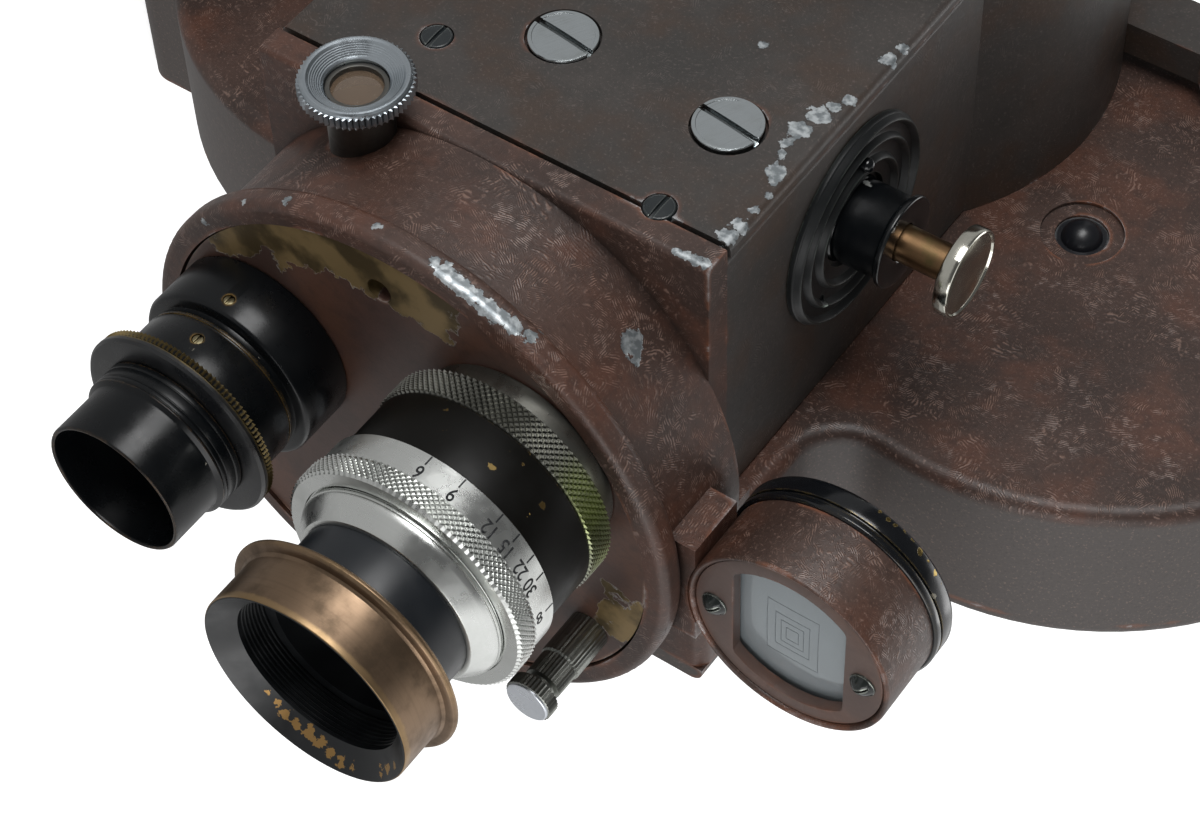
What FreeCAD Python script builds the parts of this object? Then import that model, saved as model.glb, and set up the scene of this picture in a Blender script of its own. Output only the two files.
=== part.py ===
import FreeCAD, Part
import math
import os

os.makedirs("parts", exist_ok=True)
V = FreeCAD.Vector

# Movie camera for 16 mm film: figure-eight film case, three-lens turret, spring motor.
# Millimetres. +Z up, the lenses look along -Y, -X is the operator's right.
# Everything is drawn from the centre of the turret's front face, and each finished
# piece is moved so that the origin is the mouth of the tripod socket in the base.

# Clearances and fits; cutters run past what they cut
running_fit = 0.05
body_gap = 0.3
past = 1.0

# Turret and lens ports
disc_r = 40.0
disc_thick = 4.0
port_r = 12.3
port_margin = 2.45
port_count = 3
taking_angle = 6.2
handle_inset = 4.9
handle_angle = 59.4
handle_rod_r = 2.6
handle_root_r = 3.1
handle_step = 7.0
handle_cap_r = 3.7
handle_cap_from = 12.5
handle_face_h = 0.4
handle_len = 14.9
handle_knurl_count = 30
index_inset = 6.8
index_angle = 182.0
index_hole_r = 1.9
detent_inset = 10.0
detent_r = 1.5
pivot_r = 4.0
pivot_head_r = 6.0
pivot_head_h = 1.5
pivot_slot_depth = 0.8

# Front casting
rim_w = 3.4
rim_front = 0.5
rim_back = 3.8
rim_round = 1.4
neck_lap = 1.6
neck_wall = 3.6
floor_thick = 4.0
case_front_y = 20.2
flange_thick = 4.3
plate_front = 2.2
flange_round = 1.0
block_wall = 1.9
block_lap = 4.2
room_wall = 1.2
bulkhead_thick = 2.3
front_light_r = 9.0
rear_light_r = 7.5

# Film and its path
film_w = 16.0
film_plane_y = 17.52
frame_w = 10.4
frame_h = 7.5
perforation_inset = 1.83
spool_w = 18.2
spool_core_r = 16.0
spool_core_wall = 2.0
spool_hub_wall = 1.5
spool_flange = 1.2
spool_window_r = 6.0
spool_window_circle_r = 30.0
spool_room = 2.5
spool_shift = 3.1
spindle_r = 4.0
spindle_seat = 1.0
spindle_dome_r = 3.2
sprocket_y = 48.0
sprocket_teeth = 10
sprocket_tooth_h = 1.2
sprocket_tooth_w = 1.1
sprocket_relief = 1.4
sprocket_land = 3.0
film_pitch = 7.62

# Film case and door
wall = 3.0
film_to_face = 15.9
chamber_w = 29.0
door_thick = 2.9
lobe_y = 95.0
lobe_z = 56.5
lobe_r = 51.5
nose_step = 3.9
nose_fillet = 8.0
waist_step = 2.4
waist_fillet = 9.0
edge_round = 2.2
bearing_recess_r = 6.3
bearing_recess_depth = 0.6
blind_depth = 1.5
lip_depth = 1.5
lip_thick = 0.9
lock_front = 23.0
lock_rear = 17.0
lock_post_r = 4.0
lock_shaft_r = 2.5
lock_shaft_len = 8.0
lock_knob_r = 8.5
lock_knob_h = 5.0
lock_bar_w = 3.2
lock_web_h = 1.2
lock_rim_w = 1.5

# Mechanism case and spring drum
case_half_z = 36.6
cover_thick = 2.2
cover_round = 1.2
case_round = 0.8
seam_gap = 0.8
drum_z = 2.7
drum_swell = 5.0
drum_step = 4.4
drum_cover_thick = 2.0
drum_cover_round = 1.0

# Base
foot_inset = 0.5
foot_set_back = 20.5
foot_h = 31.0
foot_drop = 1.0
foot_round = 5.0
wing_inset = 7.6
wing_h = 12.0
tripod_r = 3.175
tripod_depth = 9.0
tripod_bush_r = 8.0

# Spring motor and gear train
gear_module = 1.0
gear_tooth_room = 2.6
sprocket_gear_teeth = 58
sprocket_gear_hole_count = 5
sprocket_gear_rim = 5.0
sprocket_gear_hub = 3.0
governor_teeth = 12
governor_room = 1.63
gear_set_in = 15.2
gear_w = 4.0
shaft_r = 2.0
barrel_room = 3.1
barrel_wall = 2.0
barrel_gap = 2.0
barrel_set_in = 8.0
arbor_r = 4.0
arbor_hub_wall = 1.5
spring_turns = 6
spring_t = 0.8
spring_side_gap = 2.0
bridge_set_in = 23.2
bridge_thick = 2.0
bridge_edge = 1.0
pillar_r = 2.5
governor_r = 6.0
governor_set_in = 7.6
governor_disc_w = 2.0
governor_arm_off = 4.2
governor_arm_t = 0.8
governor_arm_w = 2.4
governor_weight_t = 2.4
governor_weight_w = 4.8
governor_weight_in = 2.0
governor_collar_r = 3.2
governor_collar_w = 5.0
key_hub_r = 7.0
key_hub_h = 9.0
key_wing_len = 24.0
key_wing_w = 11.0
key_wing_thick = 3.0
key_pin_r = 1.5
key_pin_in = 3.2
key_neck_w = 4.4
key_window_r = 2.5

# Shutter, claw and gate
shutter_dx = -23.1
shutter_dz = 3.3
shutter_room = 9.0
shutter_open_deg = 170.0
shutter_thick = 0.8
shutter_hub_r = 5.0
shutter_hub_w = 1.6
shutter_shaft_len = 8.0
shutter_pinion_r = 3.4
shutter_pinion_w = 5.0
claw_stroke = film_pitch
claw_room = 1.82
claw_arm_w = 3.0
claw_head_h = 6.0
claw_tooth_w = 1.0
claw_tooth_h = 1.2
claw_slot_w = 1.8
claw_slot_end = 2.2
claw_window_end = 4.0
gate_thick = 1.2
gate_half_h = 22.0
gate_foot_h = 3.0
pad_thick = 1.3
pad_gap = 0.4
pad_half_h = 15.0
pad_pin_half = 10.0
pad_pin_r = 1.2
pad_pin_past = 4.0
pad_claw_gap = 3.2
bracket_thick = 1.6
bracket_gap = 2.2
bracket_half_h = 13.0
bracket_reach = 4.0
bracket_lug = 7.0
leaf_thick = 0.4

# Long black lens, at the port low on the right: distances are in front of the disc
tele_base_r = 14.1
tele_base_len = 9.1
tele_chamfer = 0.4
tele_groove_len = 1.8
tele_groove_depth = 0.3
tele_neck_r = 12.5
tele_neck_end = 17.3
tele_ring_r = 15.2
tele_ring_w = 2.5
tele_ring_grip = 1.1
tele_ring_gap = 0.2
tele_ring_knurl_count = 80
tele_collar_r = 11.7
tele_collar_end = 24.0
tele_groove_count = 3
tele_groove_pitch = 1.1
tele_tube_r = 10.9
tele_len = 32.6
tele_bore_r = 10.2
tele_glass_in = 4.0
tele_glass_thick = 3.2
tele_light_r = 9.0
tele_leaf_r = 4.5
tele_leaf_out = 5.0
tele_screw_angle = 177.0
tele_screw_r = 1.4
tele_screw_sink = 1.0
tele_screw_outs = (6.6, 13.3)

# Bright lens, at the upper right port: distances are in front of the disc
wide_seat_r = 15.0
wide_seat_len = 4.2
wide_knurl_r = 17.7
wide_knurl_end = 8.6
wide_knurl_count = 96
wide_light_r = 10.0
wide_barrel_r = 17.3
wide_barrel_end = 17.5
wide_scale_r = 18.1
wide_scale_end = 21.9
wide_grip_r = 18.6
wide_grip_end = 25.4
wide_grip_lip = 1.0
wide_grip_count = 100
wide_sleeve_r = 14.3
wide_sleeve_wall = 1.2
wide_sleeve_in = 3.0
wide_guide_wall = 0.9
wide_guide_in = 1.0
wide_cone_r = 15.8
wide_cone_step = 0.7
wide_cone_tip_r = 13.7
wide_cone_end = 29.2
wide_tube_r = 12.9
wide_tube_bore_r = 11.5
wide_tube_end = 36.4
wide_glass_thick = 3.0
wide_glass_lip = 1.5
wide_leaf_r = 5.0
wide_leaf_in = 2.0
glass_bulge = 2.2
hood_flange_r = 17.6
hood_flange_w = 1.3
hood_r = 15.9
hood_end = 45.7
hood_bore_r = 12.6
hood_mouth_r = 15.2
hood_bevel = 3.0
hood_rib_count = 8
hood_rib_h = 0.3
hood_spigot_wall = 1.0

# Finder on the saddle above the turret
finder_x = 3.0
finder_rise = 2.4
finder_r = 15.7
finder_front_y = 4.0
finder_tube_len = 11.2
finder_bore_r = 14.7
finder_round = 0.4
finder_ring_r = 16.3
finder_ring_w = 4.0
finder_ring_groove = 0.5
finder_ring_groove_at = 1.2
finder_cap_w = 1.0
finder_face_sink = 0.5
finder_face_thick = 1.8
finder_light_r = 12.8
finder_window_r = 12.3
finder_window_half = 8.7
finder_eye_r = 9.6
finder_screw_pitch = 11.6
finder_screw_r = 1.8
finder_screw_dome_r = 2.16
finder_screw_h = 1.2
finder_screw_centre = 0.9
finder_screw_slot = 0.8
finder_screw_turn = 120.0
glass_thick = 2.0
saddle_half_w = 10.0
saddle_back_y = 14.0
saddle_h = 3.7
sight_set_back = 15.0
sight_len = 12.0
sight_r = 5.5
sight_wall = 1.0
sight_back_wall = 1.5
sight_eye_r = 3.0
sight_post_w = 6.0

# Focuser
focuser_y = 17.2
focuser_z = -16.6
focuser_reach = 8.1
focuser_ring_w = 2.6
focuser_ring_r = 7.95
focuser_eye_r = 4.4
focuser_tube_r = 4.6
focuser_tube_wall = 1.0
focuser_pin_wall = 0.8
focuser_pin_len = 6.0
focuser_lip = 0.4
focuser_dish = 0.9
focuser_web = 0.7
focuser_glass_in = 1.0
focuser_glass_thick = 2.0
focuser_knurl_count = 60
prism_half = 4.0
prism_gap = 0.1

# Speed dial and start button on the top wall
dial_from_right = 21.1
dial_from_seam = 30.3
dial_r = 16.0
dial_base_h = 0.9
dial_ridge_h = 0.9
dial_ridges = (15.2, 12.6, 9.6)
dial_ridge_w = 1.5
dial_ridge_slope = 0.5
dial_gap = 0.1
dial_stop_r = 1.3
dial_stop_circle_r = 10.4
dial_stop_angle = 174.5
dial_mark_r = 1.0
dial_mark_circle_r = 12.2
dial_mark_angle = -44.0
sleeve_r = 6.2
sleeve_h = 8.8
sleeve_flange_r = 6.9
sleeve_flange_h = 0.9
sleeve_screw_r = 0.8
sleeve_screw_circle_r = 4.6
sleeve_screw_angle = 52.0
sleeve_screw_proud = 0.2
button_rod_r = 2.7
button_rod_past = 4.0
button_head_r = 6.6
button_head_h = 3.0
button_seat = 0.6
button_bevel = 1.2
button_bevel_h = 0.9
button_lip = 0.4
button_lip_w = 0.5
button_dish = 1.1
button_height = 19.2
button_travel = 3.0

# Footage dial on the mechanism cover
counter_from_seam = 41.5
counter_z = -14.0
counter_r = 8.0
counter_h = 1.6
counter_round = 0.4
counter_mark_w = 0.8
counter_mark_depth = 0.3
counter_shaft_in = 4.0

# Screws, placed by their distance behind the seam and their height
cover_screw_places = ((18.3, 24.6), (20.0, -3.3))
cover_screw_r = 5.3
cover_screw_h = 1.2
cover_screw_proud = 0.5
cover_screw_turn = 98.0
small_screw_places = ((1.4, 25.2), (10.6, -17.6))
small_screw_r = 2.4
small_screw_h = 0.8
small_screw_proud = 0.2
small_screw_turn = 179.0
screw_gap = 0.15
slot_w = 0.9
fine_slot_w = 0.4

# Worked out from the sizes above
port_circle_r = disc_r - port_margin - port_r
film_x = port_circle_r * math.cos(math.radians(taking_angle))
film_z = port_circle_r * math.sin(math.radians(taking_angle))
neck_r = disc_r + neck_lap
floor_y = disc_thick + body_gap
room_y = floor_y + floor_thick
gate_y = film_plane_y - gate_thick
pocket_y = gate_y - claw_room
bulkhead_y = pocket_y - bulkhead_thick
block_front_y = pocket_y - block_wall
casting_back_y = case_front_y + flange_thick
face_x = film_x - film_to_face
chamber_left_x = face_x + wall
block_left_x = face_x - block_lap
room_left_x = face_x - room_wall
outer_x = face_x + chamber_w
door_x = outer_x - door_thick
spool_r = lobe_r - wall - spool_room
spool_z = lobe_z - spool_shift
case_right_x = -neck_r
nose_half_z = case_half_z + nose_step
drum_r = case_half_z + drum_swell
drum_right_x = case_right_x - drum_step
waist_r = drum_r + waist_step
barrel_teeth = round(2 * (drum_r - wall - gear_tooth_room) / gear_module)
barrel_r = drum_r - wall - barrel_room
barrel_right_x = drum_right_x + barrel_set_in
drum_y = sprocket_y + gear_module * (barrel_teeth + sprocket_gear_teeth) / 2
gear_x = face_x - gear_set_in
gear_left_x = gear_x + gear_w
barrel_left_x = gear_x - barrel_gap
bridge_x = face_x - bridge_set_in
sprocket_r = sprocket_teeth * film_pitch / (2 * math.pi)
sprocket_gear_r = gear_module * sprocket_gear_teeth / 2
governor_right_x = case_right_x + governor_set_in
governor_distance = gear_module * (sprocket_gear_teeth + governor_teeth) / 2
governor_drop = case_half_z - wall - governor_r - governor_room + drum_z
governor_angle = -math.degrees(math.asin(governor_drop / governor_distance))
governor_y = sprocket_y + governor_distance * math.cos(math.radians(governor_angle))
governor_z = drum_z - governor_drop
shutter_x = film_x + shutter_dx
shutter_z = film_z + shutter_dz
shutter_r = neck_r - neck_wall - shutter_room
lock_post_ys = (lobe_y - lock_front, drum_y + lock_rear)
base_z = -lobe_z - lobe_r - foot_drop
foot_front_y = lobe_y - lobe_r + foot_set_back
foot_back_y = lobe_y + lobe_r - foot_inset
foot_top_z = base_z + foot_h
wing_left_x = case_right_x + wing_inset
tripod_y = (foot_front_y + foot_back_y) / 2
finder_z = neck_r + finder_rise + finder_r
saddle_top_z = neck_r + saddle_h
sight_y = drum_y + sight_set_back
focuser_ring_x = -neck_r - focuser_reach
dial_x = case_right_x + dial_from_right
dial_y = casting_back_y + dial_from_seam
counter_y = casting_back_y + counter_from_seam
socket = V((wing_left_x + face_x) / 2, tripod_y, base_z)


def around(radius, degrees):
    """Offsets of a point on a circle."""
    angle = math.radians(degrees)
    return radius * math.cos(angle), radius * math.sin(angle)


def port_place(turns):
    """Centre (x, z) of a lens port, counted in thirds of a turn from the taking port."""
    return around(port_circle_r, taking_angle + turns * 360 / port_count)


def detent_place(turns):
    return around(disc_r - detent_inset, taking_angle + (turns + 0.5) * 360 / port_count)


def handle_place():
    return around(disc_r - handle_inset, handle_angle)


def box(x0, x1, y0, y1, z0, z1):
    return Part.makeBox(x1 - x0, y1 - y0, z1 - z0, V(x0, y0, z0))


def cyl_x(y, z, r, x0, x1):
    return Part.makeCylinder(r, x1 - x0, V(x0, y, z), V(1, 0, 0))


def cyl_y(x, z, r, y0, y1):
    return Part.makeCylinder(r, y1 - y0, V(x, y0, z), V(0, 1, 0))


def cyl_z(x, y, r, z0, z1):
    return Part.makeCylinder(r, z1 - z0, V(x, y, z0), V(0, 0, 1))


def lathe_y(points, x, z):
    """Turned part about a line along Y: points are (distance in front of the disc, radius)."""
    wire = Part.makePolygon([V(x + r, -out, z) for out, r in points + points[:1]])
    return Part.Face(wire).revolve(V(x, 0, z), V(0, 1, 0), 360)


def lathe_x(points, y, z):
    """Turned part about a line along X: points are (x, radius)."""
    wire = Part.makePolygon([V(along, y + r, z) for along, r in points + points[:1]])
    return Part.Face(wire).revolve(V(0, y, z), V(1, 0, 0), 360)


def lathe_z(points, x, y):
    """Turned part about a line along Z: points are (z, radius)."""
    wire = Part.makePolygon([V(x + r, y, along) for along, r in points + points[:1]])
    return Part.Face(wire).revolve(V(x, y, 0), V(0, 0, 1), 360)


def teeth(count, root_r, tip_r, root_share, tip_share):
    """Outline of straight-sided teeth; the shares are parts of the pitch that a tooth fills."""
    points = []
    pitch = 2 * math.pi / count
    for i in range(count):
        for r, share in ((root_r, -root_share), (tip_r, -tip_share),
                         (tip_r, tip_share), (root_r, root_share)):
            angle = (i + share / 2) * pitch
            points.append((r * math.cos(angle), r * math.sin(angle)))
    return points


def toothed_x(y, z, x0, x1, outline, turn=0.0):
    wire = Part.makePolygon([V(x0, y + a, z + b) for a, b in outline + outline[:1]])
    solid = Part.Face(wire).extrude(V(x1 - x0, 0, 0))
    solid.rotate(V(0, y, z), V(1, 0, 0), turn)
    return solid


def toothed_y(x, z, y0, y1, outline):
    wire = Part.makePolygon([V(x + a, y0, z + b) for a, b in outline + outline[:1]])
    return Part.Face(wire).extrude(V(0, y1 - y0, 0))


def gear(y, z, count, turn):
    """Spur gear on a line along X."""
    pitch_r = gear_module * count / 2
    outline = teeth(count, pitch_r - 1.25 * gear_module, pitch_r + 0.8 * gear_module, 0.72, 0.3)
    return toothed_x(y, z, gear_x, gear_left_x, outline, turn)


def knurl(count, r, depth=0.35):
    """Outline of a straight-knurled grip."""
    return teeth(count, r - depth, r, 0.95, 0.25)


def knurled_band(x, z, r, y0, y1, count, inner_r, depth=0.35):
    """Knurled ring on a line along Y, to be fused round a plain core."""
    band = toothed_y(x, z, y0, y1, knurl(count, r, depth))
    return band.cut(cyl_y(x, z, inner_r, y0 - past, y1 + past))


def round_edges(shape, radius, wanted):
    """Round the edges whose bounding boxes pass the test."""
    edges = [edge for edge in shape.Edges if wanted(edge.BoundBox)]
    return shape.makeFillet(radius, edges) if edges else shape


def slot_along(centre, direction, length, depth, normal, width):
    """Cutter for a screwdriver slot: a thin bar across a head."""
    bar = Part.makeBox(length, width, depth, V(-length / 2, -width / 2, -depth))
    bar.Placement = FreeCAD.Placement(
        centre, FreeCAD.Rotation(direction, normal.cross(direction), normal, "ZXY"))
    return bar


def meet(a, ra, b, rb, side):
    """Where two circles of the side view meet, on the chosen side of the line a to b."""
    dy, dz = b[0] - a[0], b[1] - a[1]
    apart = math.hypot(dy, dz)
    along = (ra * ra - rb * rb + apart * apart) / (2 * apart)
    off = side * math.sqrt(ra * ra - along * along)
    return (a[0] + (along * dy - off * dz) / apart, a[1] + (along * dz + off * dy) / apart)


def towards(a, b, distance):
    length = math.hypot(b[0] - a[0], b[1] - a[1])
    return (a[0] + (b[0] - a[0]) * distance / length, a[1] + (b[1] - a[1]) * distance / length)


def arc_about(centre, start, end, x):
    """Short arc from start to end about a centre, in the side plane at x."""
    radius = math.dist(centre, start)
    middle = towards(centre, ((start[0] + end[0]) / 2, (start[1] + end[1]) / 2), radius)
    return Part.Arc(V(x, *start), V(x, *middle), V(x, *end)).toShape()


def chamber(inset, front_y, x0, x1):
    """Figure-eight prism: two lobes, a straight nose and the waist round the spring drum."""
    upper, lower, drum = (lobe_y, lobe_z), (lobe_y, -lobe_z), (drum_y, drum_z)
    nose_z = nose_half_z + nose_fillet
    reach = math.sqrt((lobe_r + nose_fillet) ** 2 - (lobe_z - nose_z) ** 2)
    nose_up, nose_low = (lobe_y - reach, nose_z), (lobe_y - reach, -nose_z)
    to_lobe, to_drum = lobe_r + waist_fillet, waist_r + waist_fillet
    rear_up = meet(upper, to_lobe, drum, to_drum, 1)
    rear_low = meet(lower, to_lobe, drum, to_drum, -1)
    big, waist, half = lobe_r - inset, waist_r - inset, nose_half_z - inset
    corner_up, corner_low = (nose_up[0], half), (nose_low[0], -half)
    front_up, front_low = towards(upper, nose_up, big), towards(lower, nose_low, big)
    back_up, back_low = towards(upper, rear_up, big), towards(lower, rear_low, big)
    waist_up, waist_low = towards(drum, rear_up, waist), towards(drum, rear_low, waist)
    crown, keel = (lobe_y, lobe_z + big), (lobe_y, -lobe_z - big)
    edges = [
        Part.makeLine(V(x0, front_y, -half), V(x0, front_y, half)),
        Part.makeLine(V(x0, front_y, half), V(x0, *corner_up)),
        arc_about(nose_up, corner_up, front_up, x0),
        arc_about(upper, front_up, crown, x0),
        arc_about(upper, crown, back_up, x0),
        arc_about(rear_up, back_up, waist_up, x0),
        arc_about(drum, waist_up, waist_low, x0),
        arc_about(rear_low, waist_low, back_low, x0),
        arc_about(lower, back_low, keel, x0),
        arc_about(lower, keel, front_low, x0),
        arc_about(nose_low, front_low, corner_low, x0),
        Part.makeLine(V(x0, *corner_low), V(x0, front_y, -half)),
    ]
    return Part.Face(Part.Wire(edges)).extrude(V(x1 - x0, 0, 0))


def film_case():
    shell = chamber(0, casting_back_y, face_x, door_x)
    foot = box(face_x, outer_x, foot_front_y, foot_back_y, base_z, foot_top_z)
    foot = round_edges(foot, foot_round, lambda b: b.XLength > past)
    wing = box(wing_left_x, face_x + wall, foot_front_y, foot_back_y, base_z, base_z + wing_h)
    wing = round_edges(wing, foot_round, lambda b: b.ZLength > past and b.XMax < face_x)
    shell = round_edges(shell, edge_round,
                        lambda b: b.XLength < 0.01 and b.XMax < face_x + 0.1
                        and b.YMax > casting_back_y + past)
    solid = shell.fuse(foot).fuse(wing)
    solid = solid.cut(chamber(-body_gap, casting_back_y, door_x, outer_x + past))
    solid = solid.cut(chamber(wall, casting_back_y - past, chamber_left_x, outer_x + past))
    through = (face_x - past, chamber_left_x + past)
    blind = (face_x - past, face_x + blind_depth)
    solid = solid.cut(cyl_x(sprocket_y, drum_z, shaft_r + running_fit, *through))
    solid = solid.cut(cyl_x(governor_y, governor_z, shaft_r + running_fit, *blind))
    solid = solid.cut(cyl_x(drum_y, drum_z, arbor_r + running_fit, *blind))
    for side in (1, -1):
        z = side * spool_z
        recess = (face_x - past, face_x + bearing_recess_depth)
        solid = solid.cut(cyl_x(lobe_y, z, spindle_r + running_fit, *through))
        solid = solid.cut(cyl_x(lobe_y, z, bearing_recess_r, *recess))
    for y in lock_post_ys:
        solid = solid.fuse(lock_post(y))
    seat = cyl_z(socket.x, socket.y, tripod_bush_r, base_z - past, base_z + tripod_depth)
    return solid.cut(seat).removeSplitter()


def lock_post(y):
    post = cyl_x(y, drum_z, lock_post_r, chamber_left_x - past, door_x - body_gap)
    hole_from = door_x - lock_shaft_len - past
    return post.cut(cyl_x(y, drum_z, lock_shaft_r + running_fit, hole_from, outer_x))


def tripod_bush():
    bush = cyl_z(socket.x, socket.y, tripod_bush_r, base_z, base_z + tripod_depth)
    return bush.cut(cyl_z(socket.x, socket.y, tripod_r, base_z - past, base_z + tripod_depth + past))


def door():
    panel = chamber(0, block_front_y, door_x, outer_x)
    panel = round_edges(panel, edge_round,
                        lambda b: b.XLength < 0.01 and b.XMin > outer_x - 0.1
                        and b.YMax > block_front_y + past)
    lip_gap = wall + body_gap
    front = pocket_y + body_gap
    lip = chamber(lip_gap, front, door_x - lip_depth, door_x)
    hollow = chamber(lip_gap + lip_thick, front + lip_thick, door_x - lip_depth - past, door_x)
    solid = panel.fuse(lip.cut(hollow))
    for y in lock_post_ys:
        hole = cyl_x(y, drum_z, lock_shaft_r + running_fit, door_x - past, outer_x + past)
        solid = solid.cut(hole)
    return solid.removeSplitter()


def lock_knob(y):
    """Knurled disc with a finger bar across its dish, on the lock's shaft."""
    inner = outer_x + body_gap
    outer = inner + lock_knob_h
    reach = lock_knob_r - past
    knob = toothed_x(y, drum_z, inner, outer, knurl(48, lock_knob_r, 0.4))
    dish = cyl_x(y, drum_z, lock_knob_r - lock_rim_w, inner + lock_web_h, outer + past)
    bar = box(inner, outer, y - reach, y + reach, drum_z - lock_bar_w / 2, drum_z + lock_bar_w / 2)
    shaft = cyl_x(y, drum_z, lock_shaft_r, door_x - lock_shaft_len, inner + past)
    return knob.cut(dish).fuse(bar).fuse(shaft).removeSplitter()


def claw_window():
    """Opening in the wall between the mechanism and the gate, for the claw's arm."""
    reach = claw_stroke + claw_window_end
    return box(room_left_x - past, chamber_left_x + past, pocket_y, gate_y + 0.2,
               film_z - reach, film_z + reach)


def saddle():
    """Seat of the finder on top of the neck."""
    block = box(finder_x - saddle_half_w, finder_x + saddle_half_w, finder_front_y, saddle_back_y,
                neck_r - neck_wall - past, saddle_top_z)
    return block.cut(cyl_y(finder_x, finder_z, finder_r, finder_front_y - past, case_front_y))


def front_casting():
    inner_half = case_half_z - wall
    pocket_half = nose_half_z - wall
    room_r = neck_r - neck_wall
    back = casting_back_y + past
    rim = cyl_y(0, 0, disc_r + body_gap + rim_w, -rim_front, rim_back)
    rim = round_edges(rim, rim_round, lambda b: b.YLength < 0.01)
    neck = cyl_y(0, 0, neck_r, rim_back, block_front_y)
    rear_neck = cyl_y(0, 0, neck_r, block_front_y, case_front_y)
    neck = neck.fuse(rear_neck.common(
        box(case_right_x, face_x, block_front_y, case_front_y, -neck_r, neck_r)))
    plate = box(case_right_x, face_x, case_front_y, casting_back_y, -case_half_z, case_half_z)
    plate = round_edges(plate, flange_round,
                        lambda b: b.XMax < case_right_x + 0.1 and b.YMax < casting_back_y)
    block = box(block_left_x, door_x, block_front_y, casting_back_y, -nose_half_z, nose_half_z)
    block = round_edges(block, edge_round, lambda b: b.XLength > past and b.YMax < casting_back_y)
    solid = neck.fuse(rim).fuse(plate).fuse(block).fuse(saddle())
    solid = solid.cut(cyl_y(0, 0, disc_r + body_gap, -rim_front - past, floor_y))
    solid = solid.cut(cyl_y(0, 0, room_r, room_y, bulkhead_y))
    inside = (case_right_x + wall, room_left_x)
    behind = cyl_y(0, 0, room_r, pocket_y, back)
    solid = solid.cut(behind.common(box(*inside, pocket_y, back, -inner_half, inner_half)))
    solid = solid.cut(box(*inside, case_front_y + plate_front, back, -inner_half, inner_half))
    solid = solid.cut(box(chamber_left_x, outer_x, pocket_y, back, -pocket_half, pocket_half))
    solid = solid.cut(claw_window())
    solid = solid.cut(cyl_y(film_x, film_z, front_light_r, floor_y - past, room_y + past))
    solid = solid.cut(cyl_y(film_x, film_z, rear_light_r, bulkhead_y - past, pocket_y + past))
    solid = solid.cut(cyl_y(*port_place(2), prism_half, floor_y - past, pocket_y + past))
    solid = solid.cut(cyl_x(focuser_y, focuser_z, focuser_tube_r, -neck_r - 5 * past, -prism_half))
    solid = solid.cut(cyl_y(shutter_x, shutter_z, shaft_r + running_fit,
                            bulkhead_y - past, pocket_y + past))
    solid = solid.cut(cyl_y(0, 0, pivot_r, floor_y - past, room_y + past))
    solid = solid.cut(cyl_y(*detent_place(0), detent_r, floor_y - 0.1, floor_y + 2 * detent_r))
    return solid.cut(small_screw_seat(0)).removeSplitter()


def detent_ball():
    x, z = detent_place(0)
    return Part.makeSphere(detent_r, V(x, floor_y + detent_r, z))


def turret_disc():
    disc = cyl_y(0, 0, disc_r, 0, disc_thick)
    through = (-past, disc_thick + past)
    for turns in range(port_count):
        disc = disc.cut(cyl_y(*port_place(turns), port_r, *through))
        x, z = detent_place(turns)
        disc = disc.cut(Part.makeSphere(detent_r, V(x, disc_thick + 0.5, z)))
    disc = disc.cut(cyl_y(0, 0, pivot_r + running_fit, *through))
    disc = disc.cut(cyl_y(*around(disc_r - index_inset, index_angle), index_hole_r, *through))
    return disc.cut(cyl_y(*handle_place(), handle_rod_r, *through))


def turret_pivot():
    face_y = -pivot_head_h - body_gap
    head = cyl_y(0, 0, pivot_head_r, face_y, -body_gap)
    stud = cyl_y(0, 0, pivot_r, -body_gap, room_y)
    slot = slot_along(V(0, face_y, 0), V(1, 0, 0), 3 * pivot_head_r, pivot_slot_depth,
                      V(0, -1, 0), slot_w)
    return head.fuse(stud).cut(slot)


def turret_handle():
    x, z = handle_place()
    knurl_end = handle_len - handle_face_h
    root = cyl_y(x, z, handle_root_r, -handle_step, 0)
    rod = cyl_y(x, z, handle_rod_r, -handle_cap_from, disc_thick - 0.2)
    cap = toothed_y(x, z, -knurl_end, -handle_cap_from, knurl(handle_knurl_count, handle_cap_r, 0.25))
    face = cyl_y(x, z, handle_cap_r - handle_face_h, -handle_len, -knurl_end)
    return root.fuse(rod).fuse(cap).fuse(face)


def mechanism_case():
    inner_half = case_half_z - wall
    block = box(case_right_x + cover_thick, face_x, casting_back_y, drum_y,
                -case_half_z, case_half_z)
    block = round_edges(block, case_round, lambda b: b.YLength > past and b.XMax < face_x)
    drum = cyl_x(drum_y, drum_z, drum_r, drum_right_x + drum_cover_thick, face_x)
    room = box(case_right_x, face_x + past, casting_back_y - past, drum_y, -inner_half, inner_half)
    solid = block.fuse(drum).cut(room)
    solid = solid.cut(cyl_x(drum_y, drum_z, drum_r - wall, drum_right_x, face_x + past))
    plunger_hole = cyl_z(dial_x, dial_y, button_rod_r + running_fit,
                         inner_half - past, case_half_z + past)
    return solid.cut(plunger_hole).removeSplitter()


def small_screw_seat(which):
    """Sunk seat of a small screw in the right side, from the front."""
    behind_seam, z = small_screw_places[which]
    return cyl_x(casting_back_y + behind_seam, z, small_screw_r,
                 case_right_x - past, case_right_x + small_screw_h)


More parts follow.
